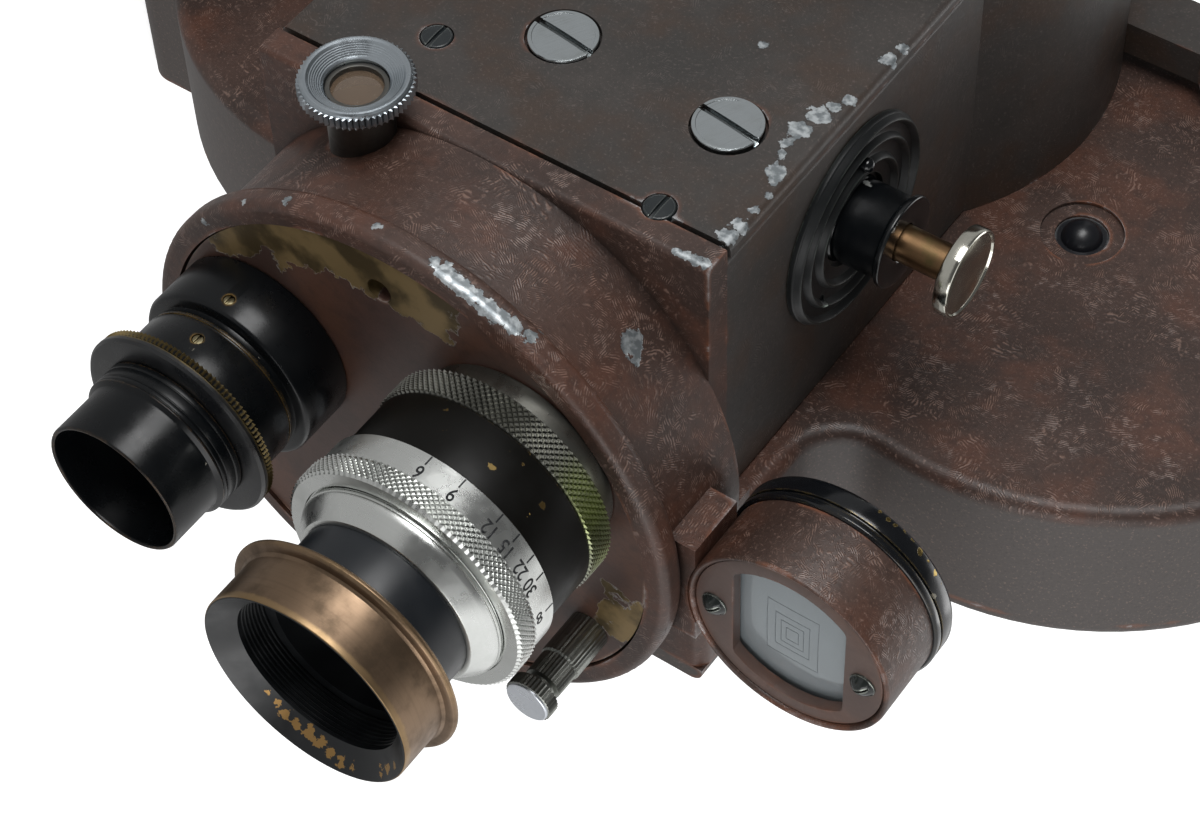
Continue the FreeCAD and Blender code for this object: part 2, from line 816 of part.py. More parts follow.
def mechanism_cover():
    """Side plate, with a narrow open seam between it and the front casting."""
    inside = case_right_x + cover_thick
    plate = box(case_right_x, inside, casting_back_y + seam_gap, drum_y, -case_half_z, case_half_z)
    plate = round_edges(plate, cover_round,
                        lambda b: b.YLength > past and b.XMax < case_right_x + 0.1)
    plate = plate.cut(cyl_x(drum_y, drum_z, drum_r, case_right_x - past, inside + past))
    for behind_seam, z in cover_screw_places:
        plate = plate.cut(cyl_x(casting_back_y + behind_seam, z, cover_screw_r,
                                case_right_x - past, case_right_x + cover_screw_h))
    for which in range(len(small_screw_places)):
        plate = plate.cut(small_screw_seat(which))
    return plate.cut(cyl_x(counter_y, counter_z, shaft_r + running_fit,
                           case_right_x - past, inside + past))


def drum_cover():
    cover = cyl_x(drum_y, drum_z, drum_r, drum_right_x, drum_right_x + drum_cover_thick)
    cover = round_edges(cover, drum_cover_round, lambda b: b.XMax < drum_right_x + 0.1)
    return cover.cut(cyl_x(drum_y, drum_z, arbor_r + running_fit, drum_right_x - past, case_right_x))


def slotted_screw(behind_seam, z, r, h, proud, turn):
    """Slotted screw in the right side: head sunk in the plate, a little proud of it."""
    y = casting_back_y + behind_seam
    face = case_right_x - proud
    head = cyl_x(y, z, r - screw_gap, face, case_right_x + h)
    head = round_edges(head, proud * 0.9, lambda b: b.XMax < face + 0.1)
    direction = V(0, *around(1.0, turn))
    return head.cut(slot_along(V(face, y, z), direction, 3 * r, proud + 0.4, V(-1, 0, 0), slot_w))


def cover_screws():
    return Part.makeCompound([
        slotted_screw(*place, cover_screw_r, cover_screw_h, cover_screw_proud, cover_screw_turn)
        for place in cover_screw_places])


def sleeve_screw_places():
    dx, dy = around(sleeve_screw_circle_r, sleeve_screw_angle)
    return [(dial_x + side * dx, dial_y + side * dy) for side in (1, -1)]


def finder_screw(side):
    """Domed screw of the finder's face, with its shank in the face plate."""
    front = finder_front_y + finder_face_sink
    z = finder_z + side * finder_screw_pitch
    head = Part.makeSphere(finder_screw_dome_r, V(finder_x, front + finder_screw_centre, z), V(0, -1, 0))
    head = head.common(cyl_y(finder_x, z, finder_screw_r, front - 3, front))
    direction = V(*around(1.0, finder_screw_turn))
    direction = V(direction.x, 0, direction.y)
    slot = slot_along(V(finder_x, front - finder_screw_h, z), direction,
                      4 * finder_screw_r, finder_screw_slot, V(0, -1, 0), slot_w)
    shank = cyl_y(finder_x, z, finder_screw_r / 2, front, front + finder_screw_h)
    return head.cut(slot).fuse(shank)


def small_screws():
    """Every small black or steel slotted screw of the body."""
    top = case_half_z + sleeve_h
    screws = [slotted_screw(*place, small_screw_r, small_screw_h, small_screw_proud, small_screw_turn)
              for place in small_screw_places]
    screws += [cyl_z(x, y, sleeve_screw_r, top - sleeve_screw_r, top + sleeve_screw_proud)
               for x, y in sleeve_screw_places()]
    return Part.makeCompound(screws + [finder_screw(1), finder_screw(-1)])


def spindle(side):
    z = side * spool_z
    start = face_x + spindle_seat
    shaft = cyl_x(lobe_y, z, spindle_r, start, door_x - body_gap - lip_depth / 3)
    return shaft.fuse(Part.makeSphere(spindle_dome_r, V(start + bearing_recess_depth, lobe_y, z)))


def spool(side):
    z = side * spool_z
    left = film_x + spool_w / 2
    right = film_x - spool_w / 2
    core = cyl_x(lobe_y, z, spool_core_r, right, left)
    core = core.cut(cyl_x(lobe_y, z, spool_core_r - spool_core_wall,
                          right + spool_flange, left - spool_flange))
    solid = core.fuse(cyl_x(lobe_y, z, spindle_r + spool_hub_wall, right, left))
    solid = solid.fuse(cyl_x(lobe_y, z, spool_r, right, right + spool_flange))
    solid = solid.fuse(cyl_x(lobe_y, z, spool_r, left - spool_flange, left))
    for step in range(4):
        dy, dz = around(spool_window_circle_r, 45 + 90 * step)
        solid = solid.cut(cyl_x(lobe_y + dy, z + dz, spool_window_r, right - past, left + past))
    return solid.cut(cyl_x(lobe_y, z, spindle_r, right - past, left + past))


def sprocket():
    half = film_w / 2
    right, left = film_x - half, film_x + half
    outline = teeth(sprocket_teeth, sprocket_r - 0.5, sprocket_r + sprocket_tooth_h, 0.16, 0.08)
    tooth_left = left - perforation_inset + sprocket_tooth_w / 2
    ring = toothed_x(sprocket_y, drum_z, tooth_left - sprocket_tooth_w, tooth_left, outline)
    land = (right + sprocket_land, left - sprocket_land)
    drum = cyl_x(sprocket_y, drum_z, sprocket_r - 0.2, right, left)
    drum = drum.cut(cyl_x(sprocket_y, drum_z, sprocket_r, *land))
    solid = drum.fuse(cyl_x(sprocket_y, drum_z, sprocket_r - sprocket_relief, *land)).fuse(ring)
    return solid.cut(cyl_x(sprocket_y, drum_z, shaft_r, face_x, outer_x))


def sprocket_gear():
    """Gear with round lightening holes, on the sprocket's shaft."""
    wheel = gear(sprocket_y, drum_z, sprocket_gear_teeth, 180 / sprocket_gear_teeth)
    rim_inner = sprocket_gear_r - sprocket_gear_rim
    hub = shaft_r + sprocket_gear_hub
    hole_r = (rim_inner - hub) / 2 - sprocket_gear_hub / 2
    for step in range(sprocket_gear_hole_count):
        dy, dz = around((hub + rim_inner) / 2, 360 * step / sprocket_gear_hole_count)
        wheel = wheel.cut(cyl_x(sprocket_y + dy, drum_z + dz, hole_r,
                                gear_x - past, gear_left_x + past))
    shaft = cyl_x(sprocket_y, drum_z, shaft_r, bridge_x - past, film_x + film_w / 2 + past)
    return wheel.fuse(shaft)


def spring_barrel():
    cup = cyl_x(drum_y, drum_z, barrel_r, barrel_right_x, gear_x)
    hollow = cyl_x(drum_y, drum_z, barrel_r - barrel_wall, barrel_right_x - past, barrel_left_x)
    cup = cup.cut(hollow).fuse(gear(drum_y, drum_z, barrel_teeth, 0.0))
    return cup.cut(cyl_x(drum_y, drum_z, arbor_r + running_fit, barrel_right_x, face_x))


def mainspring():
    """Flat spiral of half turns; each half turn is an arc about one of two centres."""
    inner = arbor_r + arbor_hub_wall + spring_t / 2
    outer = barrel_r - barrel_wall - spring_t
    step = (outer - inner - spring_t) / (2 * spring_turns)
    lower, upper = [], []
    for i in range(2 * spring_turns):
        sign = 1 if i % 2 == 0 else -1
        r0, r1 = inner + i * step, inner + (i + 1) * step
        middle = (r1 - r0) / 2 * -sign
        for side, extra in ((lower, 0.0), (upper, spring_t)):
            a = V(0, drum_y + sign * (r0 + extra), drum_z)
            b = V(0, drum_y - sign * (r1 + extra), drum_z)
            top = V(0, drum_y + middle, drum_z + sign * ((r0 + r1) / 2 + extra))
            side.append(Part.Arc(a, top, b).toShape())
    start = Part.makeLine(lower[0].Vertexes[0].Point, upper[0].Vertexes[0].Point)
    end = Part.makeLine(lower[-1].Vertexes[-1].Point, upper[-1].Vertexes[-1].Point)
    outline = Part.Wire(Part.__sortEdges__(lower + upper + [start, end]))
    width = barrel_left_x - barrel_right_x - 2 * spring_side_gap
    ribbon = Part.Face(outline).extrude(V(width, 0, 0))
    ribbon.translate(V(barrel_right_x + spring_side_gap, 0, 0))
    return ribbon


def arbor():
    shaft = cyl_x(drum_y, drum_z, arbor_r, drum_right_x - body_gap, face_x + blind_depth - body_gap)
    hub = cyl_x(drum_y, drum_z, arbor_r + arbor_hub_wall,
                barrel_right_x + spring_side_gap, barrel_left_x - spring_side_gap)
    return shaft.fuse(hub)


def key_pin_x():
    return drum_right_x - body_gap - key_hub_h + key_pin_in


def key_pin_bar():
    return cyl_z(key_pin_x(), drum_y, key_pin_r, drum_z - key_hub_r, drum_z + key_hub_r)


def key_hub():
    """Round hub on the winding arbor, slotted for the folding wing."""
    left = drum_right_x - body_gap
    right = left - key_hub_h
    reach = key_hub_r + past
    slot_half = key_wing_thick / 2 + body_gap
    hub = cyl_x(drum_y, drum_z, key_hub_r, right, left)
    slot = box(right - past, left - 2 * past, drum_y - reach, drum_y + reach,
               drum_z - slot_half, drum_z + slot_half)
    return hub.cut(slot).cut(key_pin_bar())


def key_pin():
    left = drum_right_x - body_gap
    return key_pin_bar().common(cyl_x(drum_y, drum_z, key_hub_r, left - key_hub_h - past, left))


def key_wing():
    """Folding wing of the winding key, folded flat beside its hub."""
    x = key_pin_x()
    low, high = drum_z - key_wing_thick / 2, drum_z + key_wing_thick / 2
    tip, root = x - key_wing_len, x - key_hub_r - past
    blade = box(tip, root, drum_y - key_wing_w / 2, drum_y + key_wing_w / 2, low, high)
    blade = round_edges(blade, key_wing_w / 2 - 0.5,
                        lambda b: b.ZLength > past and b.XMax < root - past)
    neck = box(root - past, x, drum_y - key_neck_w / 2, drum_y + key_neck_w / 2, low, high)
    wing = cyl_z(x, drum_y, 2 * key_pin_r, low, high).fuse(blade).fuse(neck)
    wing = wing.cut(cyl_z(tip + key_wing_w / 2, drum_y, key_window_r, low - past, high + past))
    wing = wing.cut(cyl_z(x, drum_y, key_pin_r + running_fit, low - past, high + past))
    wing = wing.removeSplitter()
    wing.rotate(V(x, drum_y, drum_z), V(0, 0, 1), 90)
    return wing


def gear_bridge():
    """Plate on three pillars that carries the right ends of the gear shafts."""
    front = casting_back_y + bridge_edge
    back = drum_y - barrel_r - gear_module - 4 * bridge_edge
    half = case_half_z - wall - body_gap
    left = bridge_x + bridge_thick
    plate = box(bridge_x, left, front, back, -half, half)
    for y, z in ((sprocket_y, drum_z), (governor_y, governor_z)):
        plate = plate.cut(cyl_x(y, z, shaft_r + running_fit, bridge_x - past, left + past))
    pillar_half = half - pillar_r - 0.2
    front_pillar = front + bridge_edge + pillar_r
    back_pillar = back - 3 * bridge_edge
    for y, z in ((front_pillar, pillar_half), (front_pillar, -pillar_half),
                 (back_pillar, pillar_half)):
        plate = plate.fuse(cyl_x(y, z, pillar_r, left - past, face_x))
    return plate


def governor():
    """Pinion shaft with a disc and two weights on spring arms."""
    disc_left = governor_right_x + 2 * governor_disc_w
    arm_left = bridge_x - governor_collar_w + governor_disc_w
    arm_half = governor_arm_w / 2
    shaft = cyl_x(governor_y, governor_z, shaft_r, governor_right_x, face_x + blind_depth - body_gap)
    disc = cyl_x(governor_y, governor_z, governor_r, disc_left - governor_disc_w, disc_left)
    collar = cyl_x(governor_y, governor_z, governor_collar_r,
                   bridge_x - governor_collar_w, bridge_x - body_gap)
    solid = shaft.fuse(disc).fuse(collar)
    for side in (1, -1):
        y = governor_y + side * governor_arm_off
        solid = solid.fuse(box(disc_left, arm_left, y - governor_arm_t / 2, y + governor_arm_t / 2,
                               governor_z - arm_half, governor_z + arm_half))
        solid = solid.fuse(box(disc_left + governor_weight_in, arm_left - governor_weight_in,
                               y - governor_weight_t / 2, y + governor_weight_t / 2,
                               governor_z - governor_weight_w / 2,
                               governor_z + governor_weight_w / 2))
        solid = solid.fuse(box(bridge_x - governor_collar_w, arm_left,
                               min(y, governor_y), max(y, governor_y),
                               governor_z - arm_half, governor_z + arm_half))
    turn = governor_angle + 180 + 180 / governor_teeth + pinion_phase()
    return solid.fuse(gear(governor_y, governor_z, governor_teeth, turn)).removeSplitter()


def pinion_phase():
    """Turn of the pinion that puts its gap over the wheel's tooth nearest the line of centres."""
    pitch = 360 / sprocket_gear_teeth
    phase = (governor_angle - 180 / sprocket_gear_teeth) / pitch
    return (phase - round(phase)) * pitch * sprocket_gear_teeth / governor_teeth


def shutter():
    """Disc with an open sector, on a shaft with a plain driven roller."""
    y = (room_y + bulkhead_y) / 2
    disc = cyl_y(shutter_x, shutter_z, shutter_r, y - shutter_thick / 2, y + shutter_thick / 2)
    reach = 2 * shutter_r
    across, up = around(reach, shutter_open_deg / 2)
    corners = [(0, 0), (across, up), (reach, reach), (reach, -reach), (across, -up), (0, 0)]
    wire = Part.makePolygon([V(shutter_x + a, y - past, shutter_z + b) for a, b in corners])
    disc = disc.cut(Part.Face(wire).extrude(V(0, 2 * past, 0)))
    hub = cyl_y(shutter_x, shutter_z, shutter_hub_r, y - shutter_hub_w / 2, y + shutter_hub_w / 2)
    shaft = cyl_y(shutter_x, shutter_z, shaft_r, y, pocket_y + shutter_shaft_len)
    pinion_end = pocket_y + shutter_shaft_len - past
    pinion = cyl_y(shutter_x, shutter_z, shutter_pinion_r, pinion_end - shutter_pinion_w, pinion_end)
    return disc.fuse(hub).fuse(shaft).fuse(pinion)


def claw_x():
    """Line of the perforations that the claw and the sprocket's far side share."""
    return film_x - film_w / 2 + perforation_inset


def aperture_plate():
    left, right = chamber_left_x, door_x - lip_depth - body_gap
    low, top = film_z - gate_half_h, film_z + gate_half_h
    cut_y = (gate_y - past, film_plane_y + past)
    plate = box(left, right, gate_y, film_plane_y, low, top)
    for z in (low, top - gate_foot_h):
        plate = plate.fuse(box(left, right, pocket_y, gate_y, z, z + gate_foot_h))
    slot_half = claw_stroke / 2 + claw_slot_end
    plate = plate.cut(box(film_x - frame_w / 2, film_x + frame_w / 2, *cut_y,
                          film_z - frame_h / 2, film_z + frame_h / 2))
    plate = plate.cut(box(claw_x() - claw_slot_w / 2, claw_x() + claw_slot_w / 2, *cut_y,
                          film_z - slot_half, film_z + slot_half))
    return plate.removeSplitter()


def claw():
    x, half = claw_x(), claw_arm_w / 2
    front, back = pocket_y + body_gap, gate_y - body_gap
    bar = box(room_left_x - claw_arm_w, x + half, front, back, film_z - half, film_z + half)
    head = box(x - half, x + half, front, back, film_z - claw_head_h / 2, film_z + claw_head_h / 2)
    tooth = box(x - claw_tooth_w / 2, x + claw_tooth_w / 2, back - 0.1, film_plane_y + 0.6,
                film_z - claw_tooth_h / 2, film_z + claw_tooth_h / 2)
    return bar.fuse(head).fuse(tooth).removeSplitter()


def pad_pin_places():
    return film_z - pad_pin_half, film_z + pad_pin_half


def bracket_y():
    return film_plane_y + pad_gap + pad_thick + bracket_gap


def pressure_plate():
    front = film_plane_y + pad_gap
    claw_edge = film_x - film_w / 2 + pad_claw_gap
    plate = box(claw_edge, film_x + film_w / 2, front, front + pad_thick,
                film_z - pad_half_h, film_z + pad_half_h)
    for z in pad_pin_places():
        plate = plate.fuse(cyl_y(film_x, z, pad_pin_r, front + pad_thick, bracket_y() + pad_pin_past))
    return plate


def gate_bracket():
    """Strip that guides the pressure plate's pins, with a lug on the case wall."""
    y = bracket_y()
    low, high = film_z - bracket_half_h, film_z + bracket_half_h
    strip = box(chamber_left_x, film_x + bracket_reach, y, y + bracket_thick, low, high)
    lug = box(chamber_left_x, chamber_left_x + bracket_thick, y, y + bracket_lug, low, high)
    strip = strip.fuse(lug)
    for z in pad_pin_places():
        strip = strip.cut(cyl_y(film_x, z, pad_pin_r + running_fit,
                                y - past, y + bracket_thick + past))
    return strip.removeSplitter()


def disc_glass(x, z, out, r, thick):
    """Lens element with a bulging front: a disc cut by a ball."""
    ball_r = glass_bulge * r
    disc = cyl_y(x, z, r, -out - thick, -out)
    return disc.common(Part.makeSphere(ball_r, V(x, ball_r - out - thick, z)))


def iris_leaves():
    """Thin leaves of both irises."""
    leaves = []
    for turns, out, r, hole_r in ((2, tele_leaf_out, tele_light_r, tele_leaf_r),
                                  (1, wide_knurl_end - wide_leaf_in, wide_light_r, wide_leaf_r)):
        x, z = port_place(turns)
        disc = cyl_y(x, z, r, -out - leaf_thick, -out)
        leaves.append(disc.cut(cyl_y(x, z, hole_r, -out - past, -out + past)))
    return Part.makeCompound(leaves)


def tele_barrel():
    x, z = port_place(2)
    back = 0.2 - disc_thick
    tail = port_r - running_fit
    groove_r = tele_neck_r - tele_groove_depth
    groove_end = tele_base_len + tele_groove_len
    points = [(back, tail), (0, tail), (0, tele_base_r), (tele_base_len - tele_chamfer, tele_base_r),
              (tele_base_len, tele_base_r - tele_chamfer), (tele_base_len, groove_r),
              (groove_end, groove_r), (groove_end, tele_neck_r),
              (tele_neck_end, tele_neck_r), (tele_neck_end, tele_tube_r),
              (groove_end, tele_tube_r), (groove_end, tele_light_r), (back, tele_light_r)]
    solid = lathe_y(points, x, z)
    for place in tele_screw_places():
        solid = solid.cut(tele_set_screw(*place, past))
    return solid


def tele_screw_places():
    """(distance in front of the disc, barrel radius) of the two set screws."""
    return list(zip(tele_screw_outs, (tele_base_r, tele_neck_r)))


def tele_set_screw(out, r, extra):
    """Plain set screw along a radius, or the cutter of its hole if it is longer."""
    x, z = port_place(2)
    dx, dz = around(1.0, tele_screw_angle)
    direction = V(dx, 0, dz)
    start = V(x, -out, z) + direction * (r - tele_screw_sink)
    return Part.makeCylinder(tele_screw_r, tele_screw_sink - 0.1 + extra, start, direction)


def tele_set_screws():
    x, z = port_place(2)
    dx, dz = around(1.0, tele_screw_angle)
    direction = V(dx, 0, dz)
    screws = []
    for out, r in tele_screw_places():
        top = V(x, -out, z) + direction * (r - 0.1)
        slot = slot_along(top, V(0, 1, 0), 4 * tele_screw_r, 0.4, direction, fine_slot_w)
        screws.append(tele_set_screw(out, r, 0.0).cut(slot))
    return Part.makeCompound(screws)


def tele_iris_ring():
    x, z = port_place(2)
    start = tele_neck_end + tele_ring_gap
    end = start + tele_ring_w
    grip_end = start + tele_ring_grip
    inner = tele_tube_r + running_fit
    points = [(start, inner), (start, tele_ring_r - 0.5), (grip_end, tele_ring_r - 0.5),
              (grip_end, tele_ring_r), (end - 0.5, tele_ring_r), (end, tele_ring_r - 1.4), (end, inner)]
    grip = knurled_band(x, z, tele_ring_r, -grip_end, -start, tele_ring_knurl_count, tele_ring_r - 1, 0.4)
    return lathe_y(points, x, z).fuse(grip)


def tele_tube():
    """Front tube, with a finely grooved collar behind it."""
    x, z = port_place(2)
    start = tele_base_len + tele_groove_len
    seat = start + tele_glass_in
    collar = tele_neck_end + 2 * tele_ring_gap + tele_ring_w
    rear_bore = tele_bore_r - 1.5
    points = [(start, rear_bore), (start, tele_tube_r), (collar, tele_tube_r),
              (collar, tele_collar_r)]
    for i in range(tele_groove_count):
        groove = collar + past + i * tele_groove_pitch
        groove_end = groove + tele_groove_depth
        points += [(groove, tele_collar_r), (groove, tele_collar_r - tele_groove_depth),
                   (groove_end, tele_collar_r - tele_groove_depth), (groove_end, tele_collar_r)]
    points += [(tele_collar_end, tele_collar_r), (tele_collar_end + 0.6, tele_tube_r),
               (tele_len - 0.3, tele_tube_r), (tele_len, tele_tube_r - 0.3), (tele_len, tele_bore_r),
               (seat, tele_bore_r), (seat, rear_bore)]
    return lathe_y(points, x, z)


def tele_glass():
    x, z = port_place(2)
    out = tele_base_len + tele_groove_len + tele_glass_in
    return disc_glass(x, z, out, tele_bore_r, tele_glass_thick)


def wide_mount():
    """Threaded tail, seat and knurled base ring of the bright lens."""
    x, z = port_place(1)
    back = 0.2 - disc_thick
    tail = port_r - running_fit
    core = wide_knurl_r - 0.6
    points = [(back, wide_light_r), (back, tail), (0, tail), (0, wide_seat_r),
              (wide_seat_len, wide_seat_r), (wide_seat_len, core),
              (wide_knurl_end, core), (wide_knurl_end, wide_light_r)]
    grip = knurled_band(x, z, wide_knurl_r, -wide_knurl_end, -wide_seat_len, wide_knurl_count, core - 1)
    return lathe_y(points, x, z).fuse(grip)


def wide_barrel():
    x, z = port_place(1)
    bore = wide_sleeve_r + running_fit
    guide_end = wide_grip_end - wide_guide_in
    guide_r = bore + wide_guide_wall
    points = [(wide_knurl_end, bore), (wide_knurl_end, wide_barrel_r),
              (wide_barrel_end, wide_barrel_r), (wide_barrel_end, guide_r), (guide_end, guide_r),
              (guide_end, bore)]
    return lathe_y(points, x, z)


def wide_focus_ring():
    x, z = port_place(1)
    start = wide_barrel_end + 0.2
    core = wide_grip_r - 0.6
    inner = wide_sleeve_r + wide_guide_wall + 2 * running_fit
    points = [(start, inner), (start, wide_scale_r), (wide_scale_end, wide_scale_r),
              (wide_scale_end, core), (wide_grip_end - 0.4, core),
              (wide_grip_end, core - wide_grip_lip), (wide_grip_end, inner)]
    grip = knurled_band(x, z, wide_grip_r, 0.6 - wide_grip_end, -wide_scale_end, wide_grip_count, core - 1)
    return lathe_y(points, x, z).fuse(grip)


def wide_cell():
    """Front cell: sliding sleeve, bright cone and black tube."""
    x, z = port_place(1)
    sleeve_start = wide_knurl_end + wide_sleeve_in
    sleeve_bore = wide_sleeve_r - wide_sleeve_wall
    cone_from = wide_grip_end + body_gap
    lip_r = wide_tube_bore_r - wide_glass_lip
    points = [(sleeve_start, sleeve_bore), (sleeve_start, wide_sleeve_r),
              (cone_from, wide_sleeve_r), (cone_from, wide_cone_r),
              (cone_from + wide_cone_step, wide_cone_r),
              (wide_cone_end, wide_cone_tip_r), (wide_cone_end, wide_tube_r),
              (wide_tube_end, wide_tube_r), (wide_tube_end, wide_tube_bore_r),
              (wide_cone_end, wide_tube_bore_r), (wide_cone_end, lip_r),
              (cone_from, lip_r), (cone_from, sleeve_bore)]
    return lathe_y(points, x, z)


def wide_glass():
    x, z = port_place(1)
    return disc_glass(x, z, wide_cone_end, wide_tube_bore_r, wide_glass_thick)


def hood():
    """Push-on hood with a funnel mouth and a ribbed bore."""
    x, z = port_place(1)
    start = wide_tube_end
    spigot_r = wide_tube_bore_r - hood_spigot_wall
    spigot = wide_cone_end + wide_glass_thick + 0.2
    flange_end = start + hood_flange_w
    rib_from = hood_end - hood_bevel
    points = [(spigot, spigot_r), (spigot, wide_tube_bore_r), (start, wide_tube_bore_r),
              (start, hood_flange_r), (flange_end - 0.2, hood_flange_r), (flange_end + 0.4, hood_r),
              (hood_end - 0.4, hood_r), (hood_end, hood_r - 0.4), (hood_end, hood_mouth_r),
              (rib_from, hood_bore_r)]
    pitch = (rib_from - flange_end) / hood_rib_count
    for i in range(hood_rib_count):
        front = rib_from - (i + 0.5) * pitch
        points += [(front, hood_bore_r), (front - 0.25 * pitch, hood_bore_r + hood_rib_h)]
    points += [(flange_end, hood_bore_r), (flange_end, spigot_r)]
    return lathe_y(points, x, z)


def finder_barrel():
    tube_end = finder_front_y + finder_tube_len
    face_back = finder_front_y + finder_face_sink + finder_face_thick
    tube = cyl_y(finder_x, finder_z, finder_r, finder_front_y, tube_end)
    tube = round_edges(tube, finder_round, lambda b: b.YMax < finder_front_y + 0.1)
    tube = tube.cut(cyl_y(finder_x, finder_z, finder_bore_r, finder_front_y - past, face_back))
    return tube.cut(cyl_y(finder_x, finder_z, finder_light_r, finder_front_y, tube_end + past))


def finder_face():
    """Front plate; its window is straight at top and bottom, round at the sides."""
    front = finder_front_y + finder_face_sink
    back = front + finder_face_thick
    through = (front - past, back + past)
    window = cyl_y(finder_x, finder_z, finder_window_r, *through)
    window = window.common(box(finder_x - finder_r, finder_x + finder_r, *through,
                               finder_z - finder_window_half, finder_z + finder_window_half))
    plate = cyl_y(finder_x, finder_z, finder_bore_r, front, back).cut(window)
    for side in (1, -1):
        z = finder_z + side * finder_screw_pitch
        plate = plate.cut(cyl_y(finder_x, z, finder_screw_r / 2, front - past,
                                front + finder_screw_h))
    return plate


def finder_glasses():
    """Front window glass and rear lens of the finder."""
    front = finder_front_y + finder_face_sink + finder_face_thick
    end = finder_front_y + finder_tube_len + finder_ring_w
    return Part.makeCompound([
        cyl_y(finder_x, finder_z, finder_light_r, front, front + glass_thick),
        cyl_y(finder_x, finder_z, finder_light_r, end - glass_thick, end)])


def finder_ring():
    start = finder_front_y + finder_tube_len
    end = start + finder_ring_w
    cut_at = start + finder_ring_groove_at
    ring = cyl_y(finder_x, finder_z, finder_ring_r, start, end)
    groove = cyl_y(finder_x, finder_z, finder_ring_r + past, cut_at, cut_at + finder_ring_groove)
    ring = ring.cut(groove.cut(cyl_y(finder_x, finder_z, finder_ring_r - finder_ring_groove,
                                     start, end)))
    ring = ring.cut(cyl_y(finder_x, finder_z, finder_light_r, start - past, end + past))
    cap = cyl_y(finder_x, finder_z, finder_r, end, end + finder_cap_w)
    eye = cyl_y(finder_x, finder_z, finder_eye_r, end - past, end + finder_cap_w + past)
    return ring.fuse(cap.cut(eye))


def rear_sight():
    """Eyepiece tube on a post that stands on the spring drum."""
    back = sight_y + sight_len
    half = sight_post_w / 2
    tube = cyl_y(finder_x, finder_z, sight_r, sight_y, back)
    tube = tube.cut(cyl_y(finder_x, finder_z, sight_r - sight_wall,
                          sight_y - past, back - sight_back_wall))
    tube = tube.cut(cyl_y(finder_x, finder_z, sight_eye_r, sight_y, back + past))
    post = box(finder_x - half, finder_x + half, sight_y + past, back - past,
               drum_z + drum_r - sight_post_w - past, finder_z - half)
    post = post.cut(cyl_x(drum_y, drum_z, drum_r, finder_x - sight_post_w, finder_x + sight_post_w))
    return tube.fuse(post.cut(cyl_y(finder_x, finder_z, sight_r - sight_wall / 2, sight_y, back)))


def focuser_tube():
    """Tube into the neck, with a thin pin on which the ring turns."""
    end = focuser_ring_x + focuser_ring_w
    bore_r = focuser_tube_r - focuser_tube_wall
    inner_end = port_place(2)[0] - prism_half - prism_gap
    tube = cyl_x(focuser_y, focuser_z, focuser_tube_r, end + body_gap, inner_end)
    tube = tube.cut(cyl_x(focuser_y, focuser_z, bore_r, end - past, inner_end + past))
    pin = cyl_x(focuser_y, focuser_z, bore_r, end - focuser_web + 0.1, end + focuser_pin_len)
    return tube.fuse(pin.cut(cyl_x(focuser_y, focuser_z, bore_r - focuser_pin_wall,
                                   end - 2 * past, end + focuser_pin_len + past)))


def focuser_ring():
    right, left = focuser_ring_x, focuser_ring_x + focuser_ring_w
    inner = focuser_tube_r - focuser_tube_wall + running_fit
    lip = right + focuser_lip
    points = [(left, inner), (left, focuser_ring_r - 0.5), (lip, focuser_ring_r - 0.5),
              (right, focuser_ring_r - 1.0), (right + focuser_dish, focuser_eye_r + 0.5),
              (right + focuser_dish + 0.5, focuser_eye_r), (left - focuser_web, focuser_eye_r),
              (left - focuser_web, inner)]
    grip = toothed_x(focuser_y, focuser_z, lip, left, knurl(focuser_knurl_count, focuser_ring_r, 0.4))
    core = cyl_x(focuser_y, focuser_z, focuser_ring_r - 1.0, right - past, left + past)
    return lathe_x(points, focuser_y, focuser_z).fuse(grip.cut(core))


def focuser_optics():
    """Brown eye glass, and the prism behind the low right port."""
    start = focuser_ring_x + focuser_ring_w + focuser_glass_in
    glass_r = focuser_tube_r - focuser_tube_wall - focuser_pin_wall
    glass = cyl_x(focuser_y, focuser_z, glass_r, start, start + focuser_glass_thick)
    x, z = port_place(2)
    half = prism_half
    corners = [(x - half, pocket_y), (x + half, pocket_y), (x + half, pocket_y + 2 * half)]
    wire = Part.makePolygon([V(a, b, z - half) for a, b in corners + corners[:1]])
    prism = Part.Face(wire).extrude(V(0, 0, focuser_z - z + 2 * half))
    return Part.makeCompound([glass, prism])


def speed_dial():
    """Flat dial with three raised rings, a stop ball and a notch for its mark."""
    low = case_half_z + dial_gap
    base = low + dial_base_h
    ridge = base + dial_ridge_h
    bore = sleeve_r + running_fit
    points = [(low, bore), (base, bore)]
    for r in reversed(dial_ridges):
        inner = r - dial_ridge_w
        points += [(base, inner), (ridge, inner + dial_ridge_slope), (ridge, r), (base, r)]
    points += [(base, dial_r), (low, dial_r)]
    dial = lathe_z(points, dial_x, dial_y)
    dx, dy = around(dial_mark_circle_r, dial_mark_angle)
    dial = dial.cut(cyl_z(dial_x + dx, dial_y + dy, dial_mark_r, base, ridge + past))
    dx, dy = around(dial_stop_circle_r, dial_stop_angle)
    ball = Part.makeSphere(dial_stop_r, V(dial_x + dx, dial_y + dy, base + dial_stop_r / 2))
    return dial.fuse(ball)


def button_sleeve():
    top = case_half_z + sleeve_h
    sleeve = cyl_z(dial_x, dial_y, sleeve_r, case_half_z, top - sleeve_flange_h)
    solid = sleeve.fuse(cyl_z(dial_x, dial_y, sleeve_flange_r, top - sleeve_flange_h, top))
    for x, y in sleeve_screw_places():
        solid = solid.cut(cyl_z(x, y, sleeve_screw_r, top - sleeve_screw_r, top + past))
    return solid.cut(cyl_z(dial_x, dial_y, button_rod_r + running_fit,
                           case_half_z - past, top + past))


